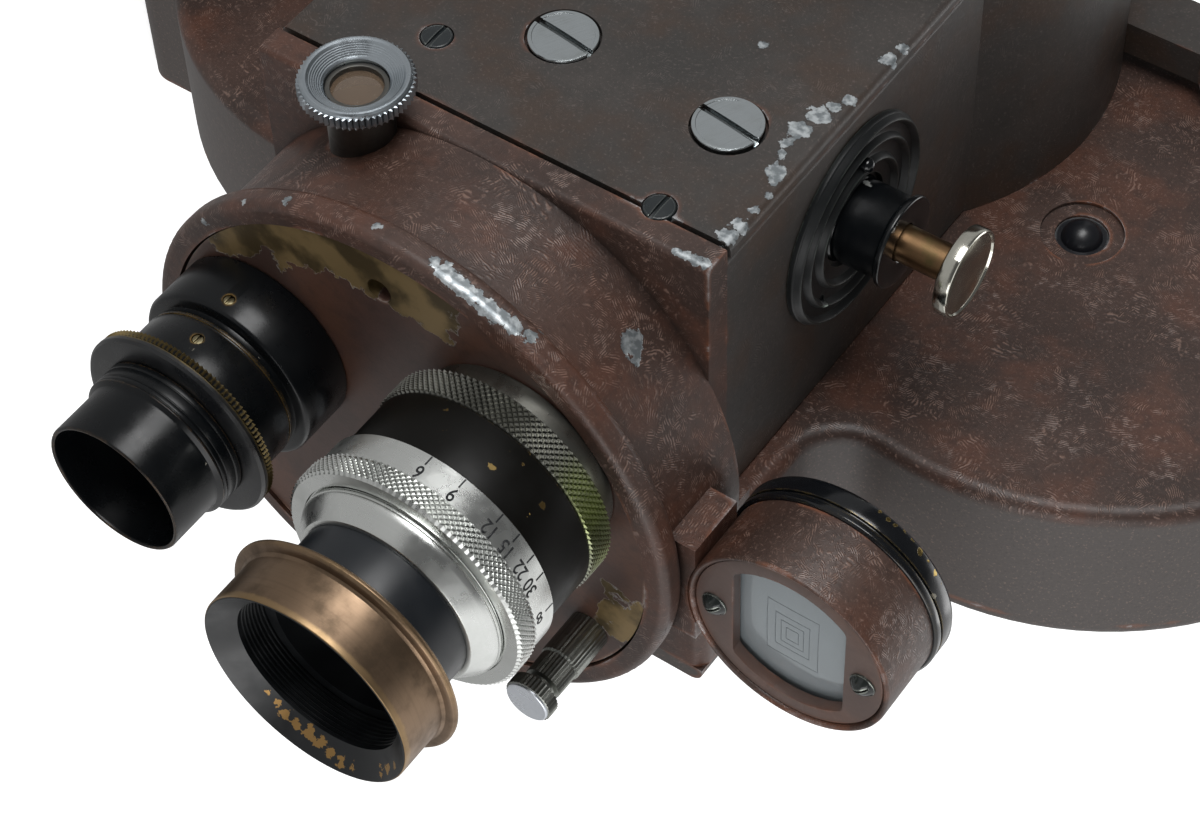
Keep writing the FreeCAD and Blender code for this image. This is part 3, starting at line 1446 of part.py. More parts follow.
def button_rod():
    top = case_half_z + button_height - button_head_h + button_seat
    return cyl_z(dial_x, dial_y, button_rod_r, case_half_z - wall - button_rod_past, top)


def button_head():
    top = case_half_z + button_height
    low = top - button_head_h
    lip_in = button_head_r - button_lip - button_lip_w
    points = [(low, 0), (low, button_head_r - button_bevel), (low + button_bevel_h, button_head_r),
              (top - 0.3, button_head_r), (top, button_head_r - button_lip), (top, lip_in),
              (top - 0.9, lip_in - 0.7), (top - button_dish, 0)]
    head = lathe_z(points, dial_x, dial_y)
    return head.cut(cyl_z(dial_x, dial_y, button_rod_r, low - past, low + button_seat))


def footage_dial():
    left = case_right_x - body_gap
    right = left - counter_h
    dial = cyl_x(counter_y, counter_z, counter_r, right, left)
    dial = round_edges(dial, counter_round, lambda b: b.XMax < right + 0.1)
    mark = box(right - past, right + counter_mark_depth, counter_y - counter_mark_w / 2,
               counter_y + counter_mark_w / 2, counter_z, counter_z + counter_r)
    shaft = cyl_x(counter_y, counter_z, shaft_r, right + 0.5, case_right_x + counter_shaft_in)
    return dial.cut(mark).fuse(shaft)


def save(name, shape):
    shape.translate(-socket)
    shape.exportStep("parts/" + name + ".step")


pieces = {
    "film_case": film_case,
    "tripod_bush": tripod_bush,
    "door": door,
    "lock_knob_front": lambda: lock_knob(lock_post_ys[0]),
    "lock_knob_rear": lambda: lock_knob(lock_post_ys[1]),
    "front_casting": front_casting,
    "detent_ball": detent_ball,
    "turret_disc": turret_disc,
    "turret_pivot": turret_pivot,
    "turret_handle": turret_handle,
    "mechanism_case": mechanism_case,
    "mechanism_cover": mechanism_cover,
    "cover_screws": cover_screws,
    "small_screws": small_screws,
    "drum_cover": drum_cover,
    "supply_spindle": lambda: spindle(1),
    "takeup_spindle": lambda: spindle(-1),
    "supply_spool": lambda: spool(1),
    "takeup_spool": lambda: spool(-1),
    "film_sprocket": sprocket,
    "sprocket_gear": sprocket_gear,
    "spring_barrel": spring_barrel,
    "mainspring": mainspring,
    "arbor": arbor,
    "key_hub": key_hub,
    "key_pin": key_pin,
    "key_wing": key_wing,
    "gear_bridge": gear_bridge,
    "governor": governor,
    "shutter": shutter,
    "aperture_plate": aperture_plate,
    "claw": claw,
    "pressure_plate": pressure_plate,
    "gate_bracket": gate_bracket,
    "black_lens_barrel": tele_barrel,
    "black_lens_tube": tele_tube,
    "black_lens_iris_ring": tele_iris_ring,
    "black_lens_screws": tele_set_screws,
    "black_lens_glass": tele_glass,
    "iris_leaves": iris_leaves,
    "bright_lens_mount": wide_mount,
    "bright_lens_barrel": wide_barrel,
    "bright_lens_focus_ring": wide_focus_ring,
    "bright_lens_cell": wide_cell,
    "bright_lens_glass": wide_glass,
    "lens_hood": hood,
    "finder_barrel": finder_barrel,
    "finder_face": finder_face,
    "finder_glasses": finder_glasses,
    "finder_ring": finder_ring,
    "rear_sight": rear_sight,
    "focuser_tube": focuser_tube,
    "focuser_ring": focuser_ring,
    "focuser_optics": focuser_optics,
    "speed_dial": speed_dial,
    "button_sleeve": button_sleeve,
    "button_rod": button_rod,
    "button_head": button_head,
    "footage_dial": footage_dial,
}
for name, make in pieces.items():
    save(name, make())
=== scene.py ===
import logging
import math
from collections.abc import Callable, Iterable, Sequence
from dataclasses import dataclass
from enum import Enum
from functools import partial

import bpy
from mathutils import Matrix, Vector


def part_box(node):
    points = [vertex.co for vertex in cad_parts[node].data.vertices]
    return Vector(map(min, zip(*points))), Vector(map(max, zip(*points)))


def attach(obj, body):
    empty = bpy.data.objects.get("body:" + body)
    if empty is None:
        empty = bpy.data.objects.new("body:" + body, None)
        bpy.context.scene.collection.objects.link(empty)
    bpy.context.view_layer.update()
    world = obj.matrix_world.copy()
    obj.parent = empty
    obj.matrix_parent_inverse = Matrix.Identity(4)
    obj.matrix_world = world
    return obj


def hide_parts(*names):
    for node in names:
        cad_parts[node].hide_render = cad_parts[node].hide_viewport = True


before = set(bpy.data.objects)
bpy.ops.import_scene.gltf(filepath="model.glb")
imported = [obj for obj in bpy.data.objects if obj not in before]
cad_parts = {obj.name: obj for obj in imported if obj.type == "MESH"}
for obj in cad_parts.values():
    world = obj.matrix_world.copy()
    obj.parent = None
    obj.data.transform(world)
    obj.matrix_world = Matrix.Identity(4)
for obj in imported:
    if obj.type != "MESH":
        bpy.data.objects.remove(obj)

# Looks of a 16 mm movie camera, built round its CAD part. The castings, covers and inner works
# keep their CAD shapes and get their finishes. Both lenses, the finder, the eyepiece focuser, the
# speed dial, the start button, the turret handle and the screws are modelled again with their
# knurls, grooves, bevels, engraving and glasses.

log = logging.getLogger("movie_camera")

MM = 0.001
FULL_TURN = 360.0

# A Mark is (x, y, z, radius) of a spot in the row frame, and an Arc (middle angle, half angle,
# inner radius) of a band on a disc, in degrees and millimetres. A Coat is (pattern, value where the
# coat begins, value where it is full, greatest share, hex colour).
Profile = Sequence[tuple[float, float]]
Colour = tuple[float, float, float, float]
Mark = tuple[float, float, float, float]
Arc = tuple[float, float, float]
Piece = bpy.types.Object
Socket = bpy.types.NodeSocket
Coat = tuple[Socket, float, float, float, str]
Adder = Callable[..., Socket]


def linear(hex_colour: str) -> Colour:
    """Turn an sRGB hex colour into linear RGBA.

    Args:
        hex_colour: colour as "#rrggbb".

    Returns:
        The colour that shader sockets expect.
    """
    parts = [int(hex_colour[i:i + 2], 16) / 255 for i in (1, 3, 5)]
    red, green, blue = [c / 12.92 if c <= 0.04045 else ((c + 0.055) / 1.055) ** 2.4 for c in parts]
    return (red, green, blue, 1.0)


def add_node(tree: bpy.types.NodeTree, kind: str, inputs: dict | list | tuple = (), out: str = "",
             **settings) -> Socket | None:
    """Add one shader node with its settings and links.

    Args:
        tree: node tree that gets the node.
        kind: node type without its "ShaderNode" prefix.
        inputs: constants, or output sockets to link, by name or in the order of the inputs in use.
        out: name of the output to hand out; otherwise it is the first one in use.
        settings: node properties.

    Returns:
        That output, if the node has one.
    """
    node = tree.nodes.new("ShaderNode" + kind)
    for name, value in settings.items():
        setattr(node, name, value)
    in_use = [socket for socket in node.inputs if socket.enabled]
    pairs = inputs.items() if isinstance(inputs, dict) else enumerate(inputs)
    for name, value in pairs:
        socket = node.inputs[name] if isinstance(name, str) else in_use[name]
        if isinstance(value, Socket):
            tree.links.new(value, socket)
        else:
            socket.default_value = value
    if out:
        return node.outputs[out]
    return next((socket for socket in node.outputs if socket.enabled), None)


class Axis(Enum):
    """Ways that turned pieces face: direction, circle's turn, and two directions across it."""

    FRONT = ((0, -1, 0), (math.pi / 2, 0, 0), (1, 0, 0), (0, 0, 1))
    RIGHT = ((-1, 0, 0), (0, -math.pi / 2, 0), (0, 1, 0), (0, 0, 1))
    UP = ((0, 0, 1), (0, 0, 0), (1, 0, 0), (0, 1, 0))

    @property
    def direction(self) -> Vector:
        """Unit vector that the axis points along."""
        return Vector(self.value[0])

    @property
    def turn(self) -> tuple[float, float, float]:
        """Euler turn that lays a circle square to the axis."""
        return self.value[1]

    def across(self, factor: float) -> tuple[float, ...]:
        """Scale factors that shrink a ring towards the axis and keep its place along it."""
        return tuple(1.0 if part else factor for part in self.value[0])


@dataclass(frozen=True)
class Line:
    """Centre line of a turned piece. Distances along it are millimetres from its origin."""

    origin: Vector
    axis: Axis

    @classmethod
    def through(cls, node: str, axis: Axis, start: float) -> "Line":
        """Centre line of a CAD node.

        Args:
            node: CAD node whose box is centred on the line.
            axis: way that the line points.
            start: coordinate, in metres, where distances along the line are 0.

        Returns:
            The line.
        """
        low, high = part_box(node)
        origin = (low + high) / 2
        along = max(range(3), key=lambda i: abs(axis.value[0][i]))
        origin[along] = start
        return cls(origin, axis)

    def at(self, out: float) -> Vector:
        """Point on the line."""
        return self.origin + self.axis.direction * out * MM

    def radial(self, degrees: float) -> Vector:
        """Unit vector away from the line at an angle about it."""
        angle = math.radians(degrees)
        return Vector(self.axis.value[2]) * math.cos(angle) + Vector(self.axis.value[3]) * math.sin(angle)

    def spot(self, out: float, radius: float, degrees: float) -> Vector:
        """Point at a distance along the line, a radius and an angle about it."""
        return self.at(out) + self.radial(degrees) * radius * MM

    def polar(self, point: Vector) -> tuple[float, float, float]:
        """Distance along the line, radius (both in millimetres) and angle in degrees of a point.

        Args:
            point: place in metres.

        Returns:
            Distance out, radius and angle.
        """
        offset = (point - self.origin) / MM
        first, second = offset.dot(Vector(self.axis.value[2])), offset.dot(Vector(self.axis.value[3]))
        angle = math.degrees(math.atan2(second, first)) % FULL_TURN
        return offset.dot(self.axis.direction), math.hypot(first, second), angle


def deselect() -> None:
    """Leave nothing selected, so that the next operator acts on the new piece alone."""
    bpy.ops.object.select_all(action="DESELECT")


def choose(piece: Piece) -> None:
    """Make one piece the only selected and the active object.

    Args:
        piece: object to choose.
    """
    deselect()
    piece.select_set(True)
    bpy.context.view_layer.objects.active = piece


def pick(piece: Piece, wanted: Callable[[Vector], bool]) -> int:
    """Open a piece in edit mode with the vertices selected that pass a test.

    Args:
        piece: mesh object.
        wanted: says of a vertex's place whether it is selected.

    Returns:
        How many vertices were selected.
    """
    choose(piece)
    bpy.ops.object.mode_set(mode="EDIT")
    bpy.context.tool_settings.mesh_select_mode = (True, False, False)
    bpy.ops.mesh.select_all(action="DESELECT")
    bpy.ops.object.mode_set(mode="OBJECT")
    count = 0
    for vertex in piece.data.vertices:
        vertex.select = wanted(vertex.co)
        count += vertex.select
    bpy.ops.object.mode_set(mode="EDIT")
    return count


def leave_edit() -> None:
    """Go back to object mode."""
    bpy.ops.object.mode_set(mode="OBJECT")


def turned(name: str, line: Line, profile: Profile, sides: int = 128, solid: bool = False) -> Piece:
    """Turn a piece as on a lathe, by extruding a circle from step to step of its profile.

    Args:
        name: piece name.
        line: centre line.
        profile: (distance along the line, radius) of each step, in millimetres.
        sides: faces round the piece.
        solid: close both ends with caps; otherwise the profile ends where it starts.

    Returns:
        The new object, with its place in its mesh.
    """
    deselect()
    out, radius = profile[0]
    bpy.ops.mesh.primitive_circle_add(
        vertices=sides, radius=radius * MM, fill_type="TRIFAN" if solid else "NOTHING",
        location=line.at(out), rotation=line.axis.turn)
    piece = bpy.context.active_object
    piece.name = name
    bpy.ops.object.transform_apply(location=True, rotation=True, scale=True)
    bpy.ops.object.mode_set(mode="EDIT")
    bpy.ops.mesh.select_all(action="SELECT")
    for next_out, next_radius in profile[1:]:
        step = line.axis.direction * (next_out - out) * MM
        bpy.ops.mesh.extrude_region_move(TRANSFORM_OT_translate={"value": step, "orient_type": "GLOBAL"})
        if next_radius != radius:
            factor = next_radius / radius
            bpy.ops.transform.resize(value=(factor,) * 3, center_override=line.at(next_out))
        out, radius = next_out, next_radius
    bpy.ops.mesh.select_all(action="SELECT")
    bpy.ops.mesh.remove_doubles(threshold=0.001 * MM)
    bpy.ops.mesh.normals_make_consistent(inside=False)
    leave_edit()
    return piece


def modified(piece: Piece, kind: str, **settings) -> Piece:
    """Add a modifier, set it and apply it.

    Args:
        piece: object to change.
        kind: Blender's name of the modifier's type.
        settings: values of the modifier's settings.

    Returns:
        The same object.
    """
    choose(piece)
    bpy.ops.object.modifier_add(type=kind)
    modifier = piece.modifiers[-1]
    for name, value in settings.items():
        setattr(modifier, name, value)
    bpy.ops.object.modifier_apply(modifier=modifier.name)
    return piece


def bevelled(piece: Piece, width: float, segments: int = 2, angle: float = 32.0) -> Piece:
    """Round a piece's edges that are sharper than an angle."""
    return modified(piece, "BEVEL", width=width * MM, segments=segments, limit_method="ANGLE",
                    angle_limit=math.radians(angle), use_clamp_overlap=True, miter_outer="MITER_ARC")


def smooth(piece: Piece, angle: float = 34.0) -> Piece:
    """Shade smooth, with creases where faces meet at more than an angle.

    Args:
        piece: object to shade.
        angle: greatest angle that stays smooth, in degrees.

    Returns:
        The same object.
    """
    choose(piece)
    bpy.ops.object.shade_smooth_by_angle(angle=math.radians(angle))
    return piece


def press(piece: Piece, line: Line, radius: float, depth: float,
          wanted: Callable[[float, float, float], bool]) -> None:
    """Push part of a ring towards its line, as a knurling wheel does.

    Args:
        piece: mesh object.
        line: its centre line.
        radius: radius of the ring, in millimetres.
        depth: how far it is pushed, in millimetres.
        wanted: says of (distance along the line, radius, angle) whether a vertex is pushed.
    """
    pick(piece, lambda place: wanted(*line.polar(place)))
    factor = (radius - depth) / radius
    bpy.ops.transform.resize(value=line.axis.across(factor), center_override=line.origin)
    leave_edit()


def straight_knurl(piece: Piece, line: Line, span: tuple[float, float], radius: float,
                   depth: float, sides: int) -> None:
    """Cut straight grooves along a ring: every second column of its vertices is pushed in.

    Args:
        piece: turned ring.
        line: its line.
        span: start and end of the grooves along the line.
        radius: radius from which vertices are pushed in.
        depth: depth of the grooves.
        sides: number of columns round the ring.
    """
    pitch = FULL_TURN / sides

    def in_groove(out: float, far: float, angle: float) -> bool:
        """Whether a vertex is in a groove of the ring."""
        column = round(angle / pitch)
        return span[0] <= out <= span[1] and far > radius - 0.05 and column % 2 == 1

    press(piece, line, radius, depth, in_groove)


def diamond_knurl(piece: Piece, line: Line, span: tuple[float, float], rows: int,
                  radius: float, depth: float, sides: int) -> None:
    """Cut crossed grooves round a ring, which leave rows of small pyramids.

    Args:
        piece: turned piece that has rows + 1 steps between both ends of the span.
        line: its centre line.
        span: first and last distance along the line, in millimetres.
        rows: rows of faces in the span.
        radius: radius of the pyramid tips, in millimetres.
        depth: depth of the grooves, in millimetres.
        sides: faces round the piece.
    """
    pitch = FULL_TURN / sides
    step = (span[1] - span[0]) / rows
    slack = 0.02

    def in_band(out: float, far: float) -> bool:
        """Whether a vertex is on the knurled band."""
        return span[0] - slack <= out <= span[1] + slack and far > radius - depth - slack

    def in_groove(out: float, far: float, angle: float) -> bool:
        """Whether a vertex of the band is where grooves cross."""
        row = round((out - span[0]) / step)
        return in_band(out, far) and (round(angle / pitch) + row) % 2 == 1

    press(piece, line, radius, depth, in_groove)
    pick(piece, lambda place: in_band(*line.polar(place)[:2]))
    bpy.ops.mesh.quads_convert_to_tris(quad_method="SHORTEST_DIAGONAL", ngon_method="BEAUTY")
    leave_edit()


def steps(start: float, end: float, count: int, radius: float) -> list[tuple[float, float]]:
    """Profile steps at even distances, both ends included."""
    return [(start + (end - start) * i / count, radius) for i in range(count + 1)]


def dome(out: float, rise: float, radius: float, tip: float = 0.2,
         count: int = 10) -> list[tuple[float, float]]:
    """Profile steps of a shallow dome, from its rim towards its top.

    Args:
        out: where the dome begins.
        rise: its height.
        radius: radius of its rim.
        tip: radius at which it ends.
        count: number of steps.

    Returns:
        Points (distance out, radius).
    """
    points = []
    for i in range(count + 1):
        far = radius + (tip - radius) * i / count
        points.append((out + rise * (1 - (far / radius) ** 2), far))
    return points


def bar(name: str, centre: Vector, directions: tuple[Vector, Vector, Vector],
        size: tuple[float, float, float]) -> Piece:
    """Straight bar along three directions at right angles; sizes are in millimetres.

    Args:
        name: piece name.
        centre: its middle, in metres.
        directions: its three directions.
        size: its length along each.

    Returns:
        The bar.
    """
    deselect()
    bpy.ops.mesh.primitive_cube_add(size=1.0)
    piece = bpy.context.active_object
    piece.name = name
    axes = Matrix([directions[i] * size[i] * MM for i in range(3)]).transposed().to_4x4()
    axes.translation = centre
    piece.matrix_world = axes
    bpy.ops.object.transform_apply(location=True, rotation=True, scale=True)
    pick(piece, lambda place: True)
    bpy.ops.mesh.normals_make_consistent(inside=False)
    leave_edit()
    return piece


def cut(piece: Piece, cutter: Piece) -> Piece:
    """Take a cutter's shape out of a piece, and delete the cutter.

    Args:
        piece: object to cut.
        cutter: shape to take out.

    Returns:
        The cut piece.
    """
    modified(piece, "BOOLEAN", operation="DIFFERENCE", object=cutter, solver="EXACT")
    choose(cutter)
    bpy.ops.object.delete()
    return piece


def slotted(piece: Piece, line: Line, top: float, depth: float, width: float,
            length: float, degrees: float) -> Piece:
    """Cut a screwdriver slot across a head.

    Args:
        piece: the head.
        line: its centre line.
        top: distance of the head's top along the line.
        depth: depth of the slot.
        width: width of the slot.
        length: length of the slot.
        degrees: angle of the slot about the line.

    Returns:
        The slotted head.
    """
    along = line.radial(degrees)
    side = line.radial(degrees + 90)
    cutter = bar("slot_cutter", line.at(top), (along, side, line.axis.direction), (length, width, 2 * depth))
    return cut(piece, cutter)


def joined(name: str, pieces: Iterable[Piece]) -> Piece:
    """Join pieces of one finish into one object.

    Args:
        name: name of the joined object.
        pieces: what to join.

    Returns:
        The joined object.
    """
    group = list(pieces)
    choose(group[0])
    for piece in group:
        piece.select_set(True)
    if len(group) > 1:
        bpy.ops.object.join()
    group[0].name = name
    return group[0]


ACROSS = (1.0, 0.0, 0.0)
SOFT = {"interpolation_type": "SMOOTHSTEP"}
COLOURS = {"data_type": "RGBA"}


@dataclass(frozen=True)
class Finish:
    """What every finish has: a name, a main colour and a roughness."""

    name: str
    colour: str
    roughness: float

    def material(self) -> bpy.types.Material:
        """Make the material at its first use, and hand out the same one afterwards.

        Returns:
            The material.
        """
        found = bpy.data.materials.get(self.name)
        if found:
            return found
        made = bpy.data.materials.new(self.name)
        made.use_nodes = True
        made.node_tree.nodes.clear()
        add = partial(add_node, made.node_tree)
        add("OutputMaterial", [self.build(add, millimetres(add))])
        return made

    def build(self, add: Adder, place: Socket) -> Socket:
        """Lay out the nodes of the finish.

        Args:
            add: adds a node to the material.
            place: coordinates in millimetres.

        Returns:
            The shader.
        """
        raise NotImplementedError


def millimetres(add: Adder) -> Socket:
    """Object coordinates in millimetres, in the row frame."""
    return add("Mapping", {"Vector": add("TexCoord", out="Object"), "Scale": (1 / MM,) * 3})


def coats(add: Adder, skin: Socket | Colour, layers: Iterable[Coat]) -> Socket:
    """Lay coats of colour over a skin, each as dense as its pattern says.

    Args:
        add: adds a node to the material.
        skin: colour underneath.
        layers: the coats, from the lowest up.

    Returns:
        The colour with its coats.
    """
    for pattern, begins, full, share, colour in layers:
        cover = add("MapRange", [pattern, begins, full, 0.0, share], **SOFT)
        skin = add("Mix", [cover, skin, linear(colour)], **COLOURS)
    return skin


def worn_edges(add: Adder, reach: float) -> Socket:
    """How sharply a surface turns outwards: 0 on flats, up to about 0.5 on an outer edge.

    Rays sent inwards meet the piece's own surface again only near outer edges.

    Args:
        add: adds a node to the material.
        reach: length of those rays, in millimetres.

    Returns:
        The sharpness.
    """
    open_share = add("AmbientOcclusion", {"Distance": reach * MM}, out="AO", inside=True, only_local=True,
                     samples=8)
    return add("Math", [1.0, open_share], operation="SUBTRACT")


def marks(add: Adder, place: Socket, spots: Iterable[Mark], ragged: float) -> Socket:
    """Mask that is 1 inside ragged spots and 0 outside them.

    Args:
        add: adds a node to the material.
        place: coordinates in millimetres.
        spots: (x, y, z, radius) of each spot, in millimetres in the row frame.
        ragged: how far the outlines wander, in millimetres.

    Returns:
        The mask.
    """
    nearest = 100.0
    for x, y, z, radius in spots:
        apart = add("VectorMath", [place, (x, y, z)], operation="DISTANCE")
        beyond = add("Math", [apart, radius], operation="SUBTRACT")
        nearest = add("Math", [nearest, beyond, 0.7], operation="SMOOTH_MIN")
    wander = add("Math", [add("TexNoise", [place, 0.9, 5.0, 0.6]), 0.5], operation="SUBTRACT")
    nearest = add("Math", [wander, 4.5 * ragged, nearest], operation="MULTIPLY_ADD")
    return add("MapRange", [nearest, 0.06, -0.06], **SOFT)


def worn_arcs(add: Adder, place: Socket, centre: Vector, arcs: Iterable[Arc]) -> Socket:
    """Mask of ragged bands along the edge of a disc that faces the front.

    Args:
        add: adds a node to the material.
        place: coordinates in millimetres.
        centre: disc's centre in the row frame.
        arcs: (middle angle, half angle, inner radius) of each band, in degrees and millimetres.

    Returns:
        The mask.
    """
    wander = add("Math", [add("TexNoise", [place, 1 / 3.2, 6.0, 0.6]), 0.5], operation="SUBTRACT")
    offset = add("VectorMath", [place, centre / MM], operation="SUBTRACT")
    flat = add("VectorMath", [offset, (1, 0, 1)], operation="MULTIPLY")
    radius = add(
        "Math", [wander, 7.0, add("VectorMath", [flat], operation="LENGTH")], operation="MULTIPLY_ADD")
    unit = add("VectorMath", [flat], operation="NORMALIZE")
    total = 0.0
    for middle, half, inner in arcs:
        aim = (math.cos(math.radians(middle)), 0.0, math.sin(math.radians(middle)))
        along = add("VectorMath", [unit, aim], operation="DOT_PRODUCT")
        along = add("Math", [wander, 0.06, along], operation="MULTIPLY_ADD")
        limit = math.cos(math.radians(half))
        sector = add("MapRange", [along, limit - 0.002, limit + 0.002], **SOFT)
        outside = add("MapRange", [radius, inner - 0.1, inner + 0.1], **SOFT)
        band = add("Math", [sector, outside], operation="MULTIPLY")
        total = add("Math", [total, band], operation="MAXIMUM")
    return total


@dataclass(frozen=True)
class CrinkleEnamel(Finish):
    """Stoved crinkle enamel on cast metal: short parallel ridges in patches, rubbed at the edges.

    The ridges lie about as far apart as the real ones, which only just shows. The grain between them
    is finer than the eye can see from here, and is drawn about three times as coarse.
    """

    shade: str = "#2c1f1a"
    warm: str = "#4f3023"
    # Colour of the light flecks, and of the painted highlight on the ridge tops.
    fleck_and_highlight: str = "#a88b7e"
    rubbed: str = "#7a4a32"
    bare: str = "#82888b"
    polished: str = "#c3c8ca"
    # Colour of the dark flecks, and of the dirt and painted shade in the hollows.
    dirt_and_shade: str = "#100c0a"
    cloud_size: float = 24.0
    glow_size: float = 13.0
    grain_size: float = 0.45
    field_size: float = 11.0
    touch_size: float = 9.0
    rub_size: float = 1.6
    scuff_size: float = 1.1
    ridge_pitch: float = 0.31
    ridge_height: float = 0.035
    ridge_share: float = 1.0
    # Share of the painted highlight on the ridge tops.
    painted_ridge_highlight: float = 0.3
    patch: float = 3.4
    flecks: float = 0.25
    peel: float = 1.9
    peel_height: float = 0.05
    edge_reach: float = 1.2
    edge_wear: float = 0.6
    chips: tuple[Mark, ...] = ()
    chip_ragged: float = 0.6
    brass_arcs: tuple[Arc, ...] = ()
    arc_centre: tuple[float, float, float] = (0.0, 0.0, 0.0)
    brass_cloud_size: float = 7.0
    brass: str = "#8c7650"
    old_brass: str = "#51432a"
    wall_from: float = 0.0
    # Colour of the side wall: greyer, a painted sheen and bounced light.
    wall: str = "#4a4340"

    def ridges(self, add: Adder, place: Socket) -> Socket:
        """Height of the ridges: bent waves, turned anew in each patch and fading at its border.

        Args:
            add: adds a node to the material.
            place: coordinates in millimetres.

        Returns:
            The height, from 0 to 1.
        """
        sway = add("TexNoise", [place, 1.1 / self.patch, 3.0], out="Color")
        shift = add("VectorMath", [sway, 2.2 * self.patch], operation="SCALE")
        moved = add("VectorMath", [place, shift], operation="ADD")
        cells = add("TexVoronoi", {"Vector": moved, "Scale": 1 / self.patch})
        spin = add("VectorMath", [cells.node.outputs["Color"], 2 * math.pi], operation="SCALE")
        turned_place = add("VectorRotate", {"Vector": place, "Rotation": spin}, rotation_type="EULER_XYZ")
        wave_period = math.pi / 10
        wave = add("TexWave", {"Vector": turned_place, "Scale": wave_period / self.ridge_pitch,
                               "Distortion": 5.5, "Detail": 1.0, "Detail Scale": 0.6}, out="Fac")
        core = add("MapRange", [cells, 0.85, 0.5], **SOFT)
        broken = add("MapRange", [add("TexNoise", [place, 1 / 1.1, 3.0]), 0.38, 0.62], **SOFT)
        return add("Math", [add("Math", [wave, core], operation="MULTIPLY"), broken], operation="MULTIPLY")

    def paint(self, add: Adder, place: Socket, standing: Socket, peel: Socket) -> Socket:
        """Colour of the enamel: clouds of three browns, flecks, a painted highlight on the ridges, and dirt
        with painted shade in the hollows.

        Args:
            add: adds a node to the material.
            place: coordinates in millimetres.
            standing: height of the ridges.
            peel: the soft waviness of the enamel.

        Returns:
            The colour.
        """
        clouds = add("TexNoise", [place, 1 / self.cloud_size, 5.0])
        glow = add("TexNoise", [place, 1 / self.glow_size, 4.0])
        skin = coats(add, linear(self.colour), [
            (clouds, 0.35, 0.65, 0.75, self.shade),
            (glow, 0.45, 0.65, 0.8, self.warm),
            (peel, 0.45, 0.75, 0.45, self.shade)])
        # Painted light: the side wall takes a greyer colour for the sheen and bounced light on it.
        if self.wall_from:
            skin = add("Mix", [self.on_wall(add, place), skin, linear(self.wall)], **COLOURS)
        grain = add("TexNoise", [place, 1 / self.grain_size, 4.0, 0.65])
        # Painted shade with dirt: the skin darkens where rays from it soon meet the piece again, in creases
        # and corners.
        reach = 3 * self.edge_reach * MM
        hollow_shade = add("AmbientOcclusion", {"Distance": reach}, out="AO", only_local=True, samples=6)
        # Flecks, then a painted highlight on the ridge tops, then painted shade with dirt in the hollows.
        return coats(add, skin, [
            (grain, 0.56, 0.7, self.flecks, self.fleck_and_highlight),
            (grain, 0.44, 0.32, self.flecks, self.dirt_and_shade),
            (standing, 0.25, 1.0, self.painted_ridge_highlight, self.fleck_and_highlight),
            (hollow_shade, 0.8, 0.35, 0.7, self.dirt_and_shade)])

    def on_wall(self, add: Adder, place: Socket) -> Socket:
        """Mask of the side wall, which begins at wall_from on the x axis."""
        across = add("SeparateXYZ", [place])
        return add("MapRange", [across, self.wall_from, self.wall_from + 1.5], **SOFT)

    def build(self, add: Adder, place: Socket) -> Socket:
        """Lay out paint, ridges, rubbed edges, chips and bare patches.

        Args:
            add: adds a node to the material.
            place: coordinates in millimetres.

        Returns:
            The shader.
        """
        few = max(0.0, self.ridge_share - 0.6)
        fields = add("TexNoise", [place, 1 / self.field_size, 3.0])
        where = add("MapRange", [fields, 0.38, 0.58, few, self.ridge_share], **SOFT)
        standing = add("Math", [self.ridges(add, place), where], operation="MULTIPLY")
        if self.wall_from:
            off_wall = add("Math", [1.0, self.on_wall(add, place)], operation="SUBTRACT")
            standing = add("Math", [standing, off_wall], operation="MULTIPLY")
        peel = add("TexNoise", [place, 1 / self.peel, 2.0])
        skin = self.paint(add, place, standing, peel)
        hands = add("TexNoise", [place, 1 / self.touch_size, 4.0])
        touched = add("MapRange", [hands, 0.42, 0.62, 0.1, 1.0], **SOFT)
        edge = add("Math", [worn_edges(add, self.edge_reach), touched], operation="MULTIPLY")
        uneven = add("TexNoise", [place, 1 / self.rub_size, 5.0])
        rub = add("Math", [uneven, 0.16, edge], operation="MULTIPLY_ADD")
        skin = coats(add, skin, [(rub, 0.2, 0.45, self.edge_wear, self.rubbed)])
        bare = add("MapRange", [rub, 0.54, 0.56, 0.0, self.edge_wear], **SOFT)
        if self.chips:
            bare = add("Math", [bare, marks(add, place, self.chips, self.chip_ragged)], operation="MAXIMUM")
        scuffs = add("TexNoise", [place, 1 / self.scuff_size, 5.0])
        metal = coats(add, linear(self.bare), [(scuffs, 0.4, 0.65, 1.0, self.polished)])
        shine = 0.85
        if self.brass_arcs:
            band = worn_arcs(add, place, Vector(self.arc_centre), self.brass_arcs)
            age = add("TexNoise", [place, 1 / self.brass_cloud_size, 5.0])
            brass = coats(add, linear(self.brass), [(age, 0.42, 0.6, 1.0, self.old_brass)])
            metal = add("Mix", [band, metal, brass], **COLOURS)
            bare = add("Math", [bare, band], operation="MAXIMUM")
            shine = 0.6
        waves = add("Math", [peel, self.peel_height], operation="MULTIPLY")
        height = add("Math", [standing, self.ridge_height, waves], operation="MULTIPLY_ADD")
        grit = add("TexNoise", [place, 2.0, 2.0])
        height = add("Math", [grit, 0.012, height], operation="MULTIPLY_ADD")
        height = add("Mix", [add("Math", [bare, 0.8], operation="MULTIPLY"), height, 0.0])
        height = add("Math", [bare, -0.06, height], operation="MULTIPLY_ADD")
        gloss = add("MapRange", [standing, 0.2, 0.9, self.roughness + 0.06, self.roughness - 0.08], **SOFT)
        return add("BsdfPrincipled", {
            "Base Color": add("Mix", [bare, skin, metal], **COLOURS),
            "Metallic": add("Math", [bare, shine], operation="MULTIPLY"),
            "Roughness": gloss, "Normal": add("Bump", {"Strength": 1.0, "Distance": MM, "Height": height})})


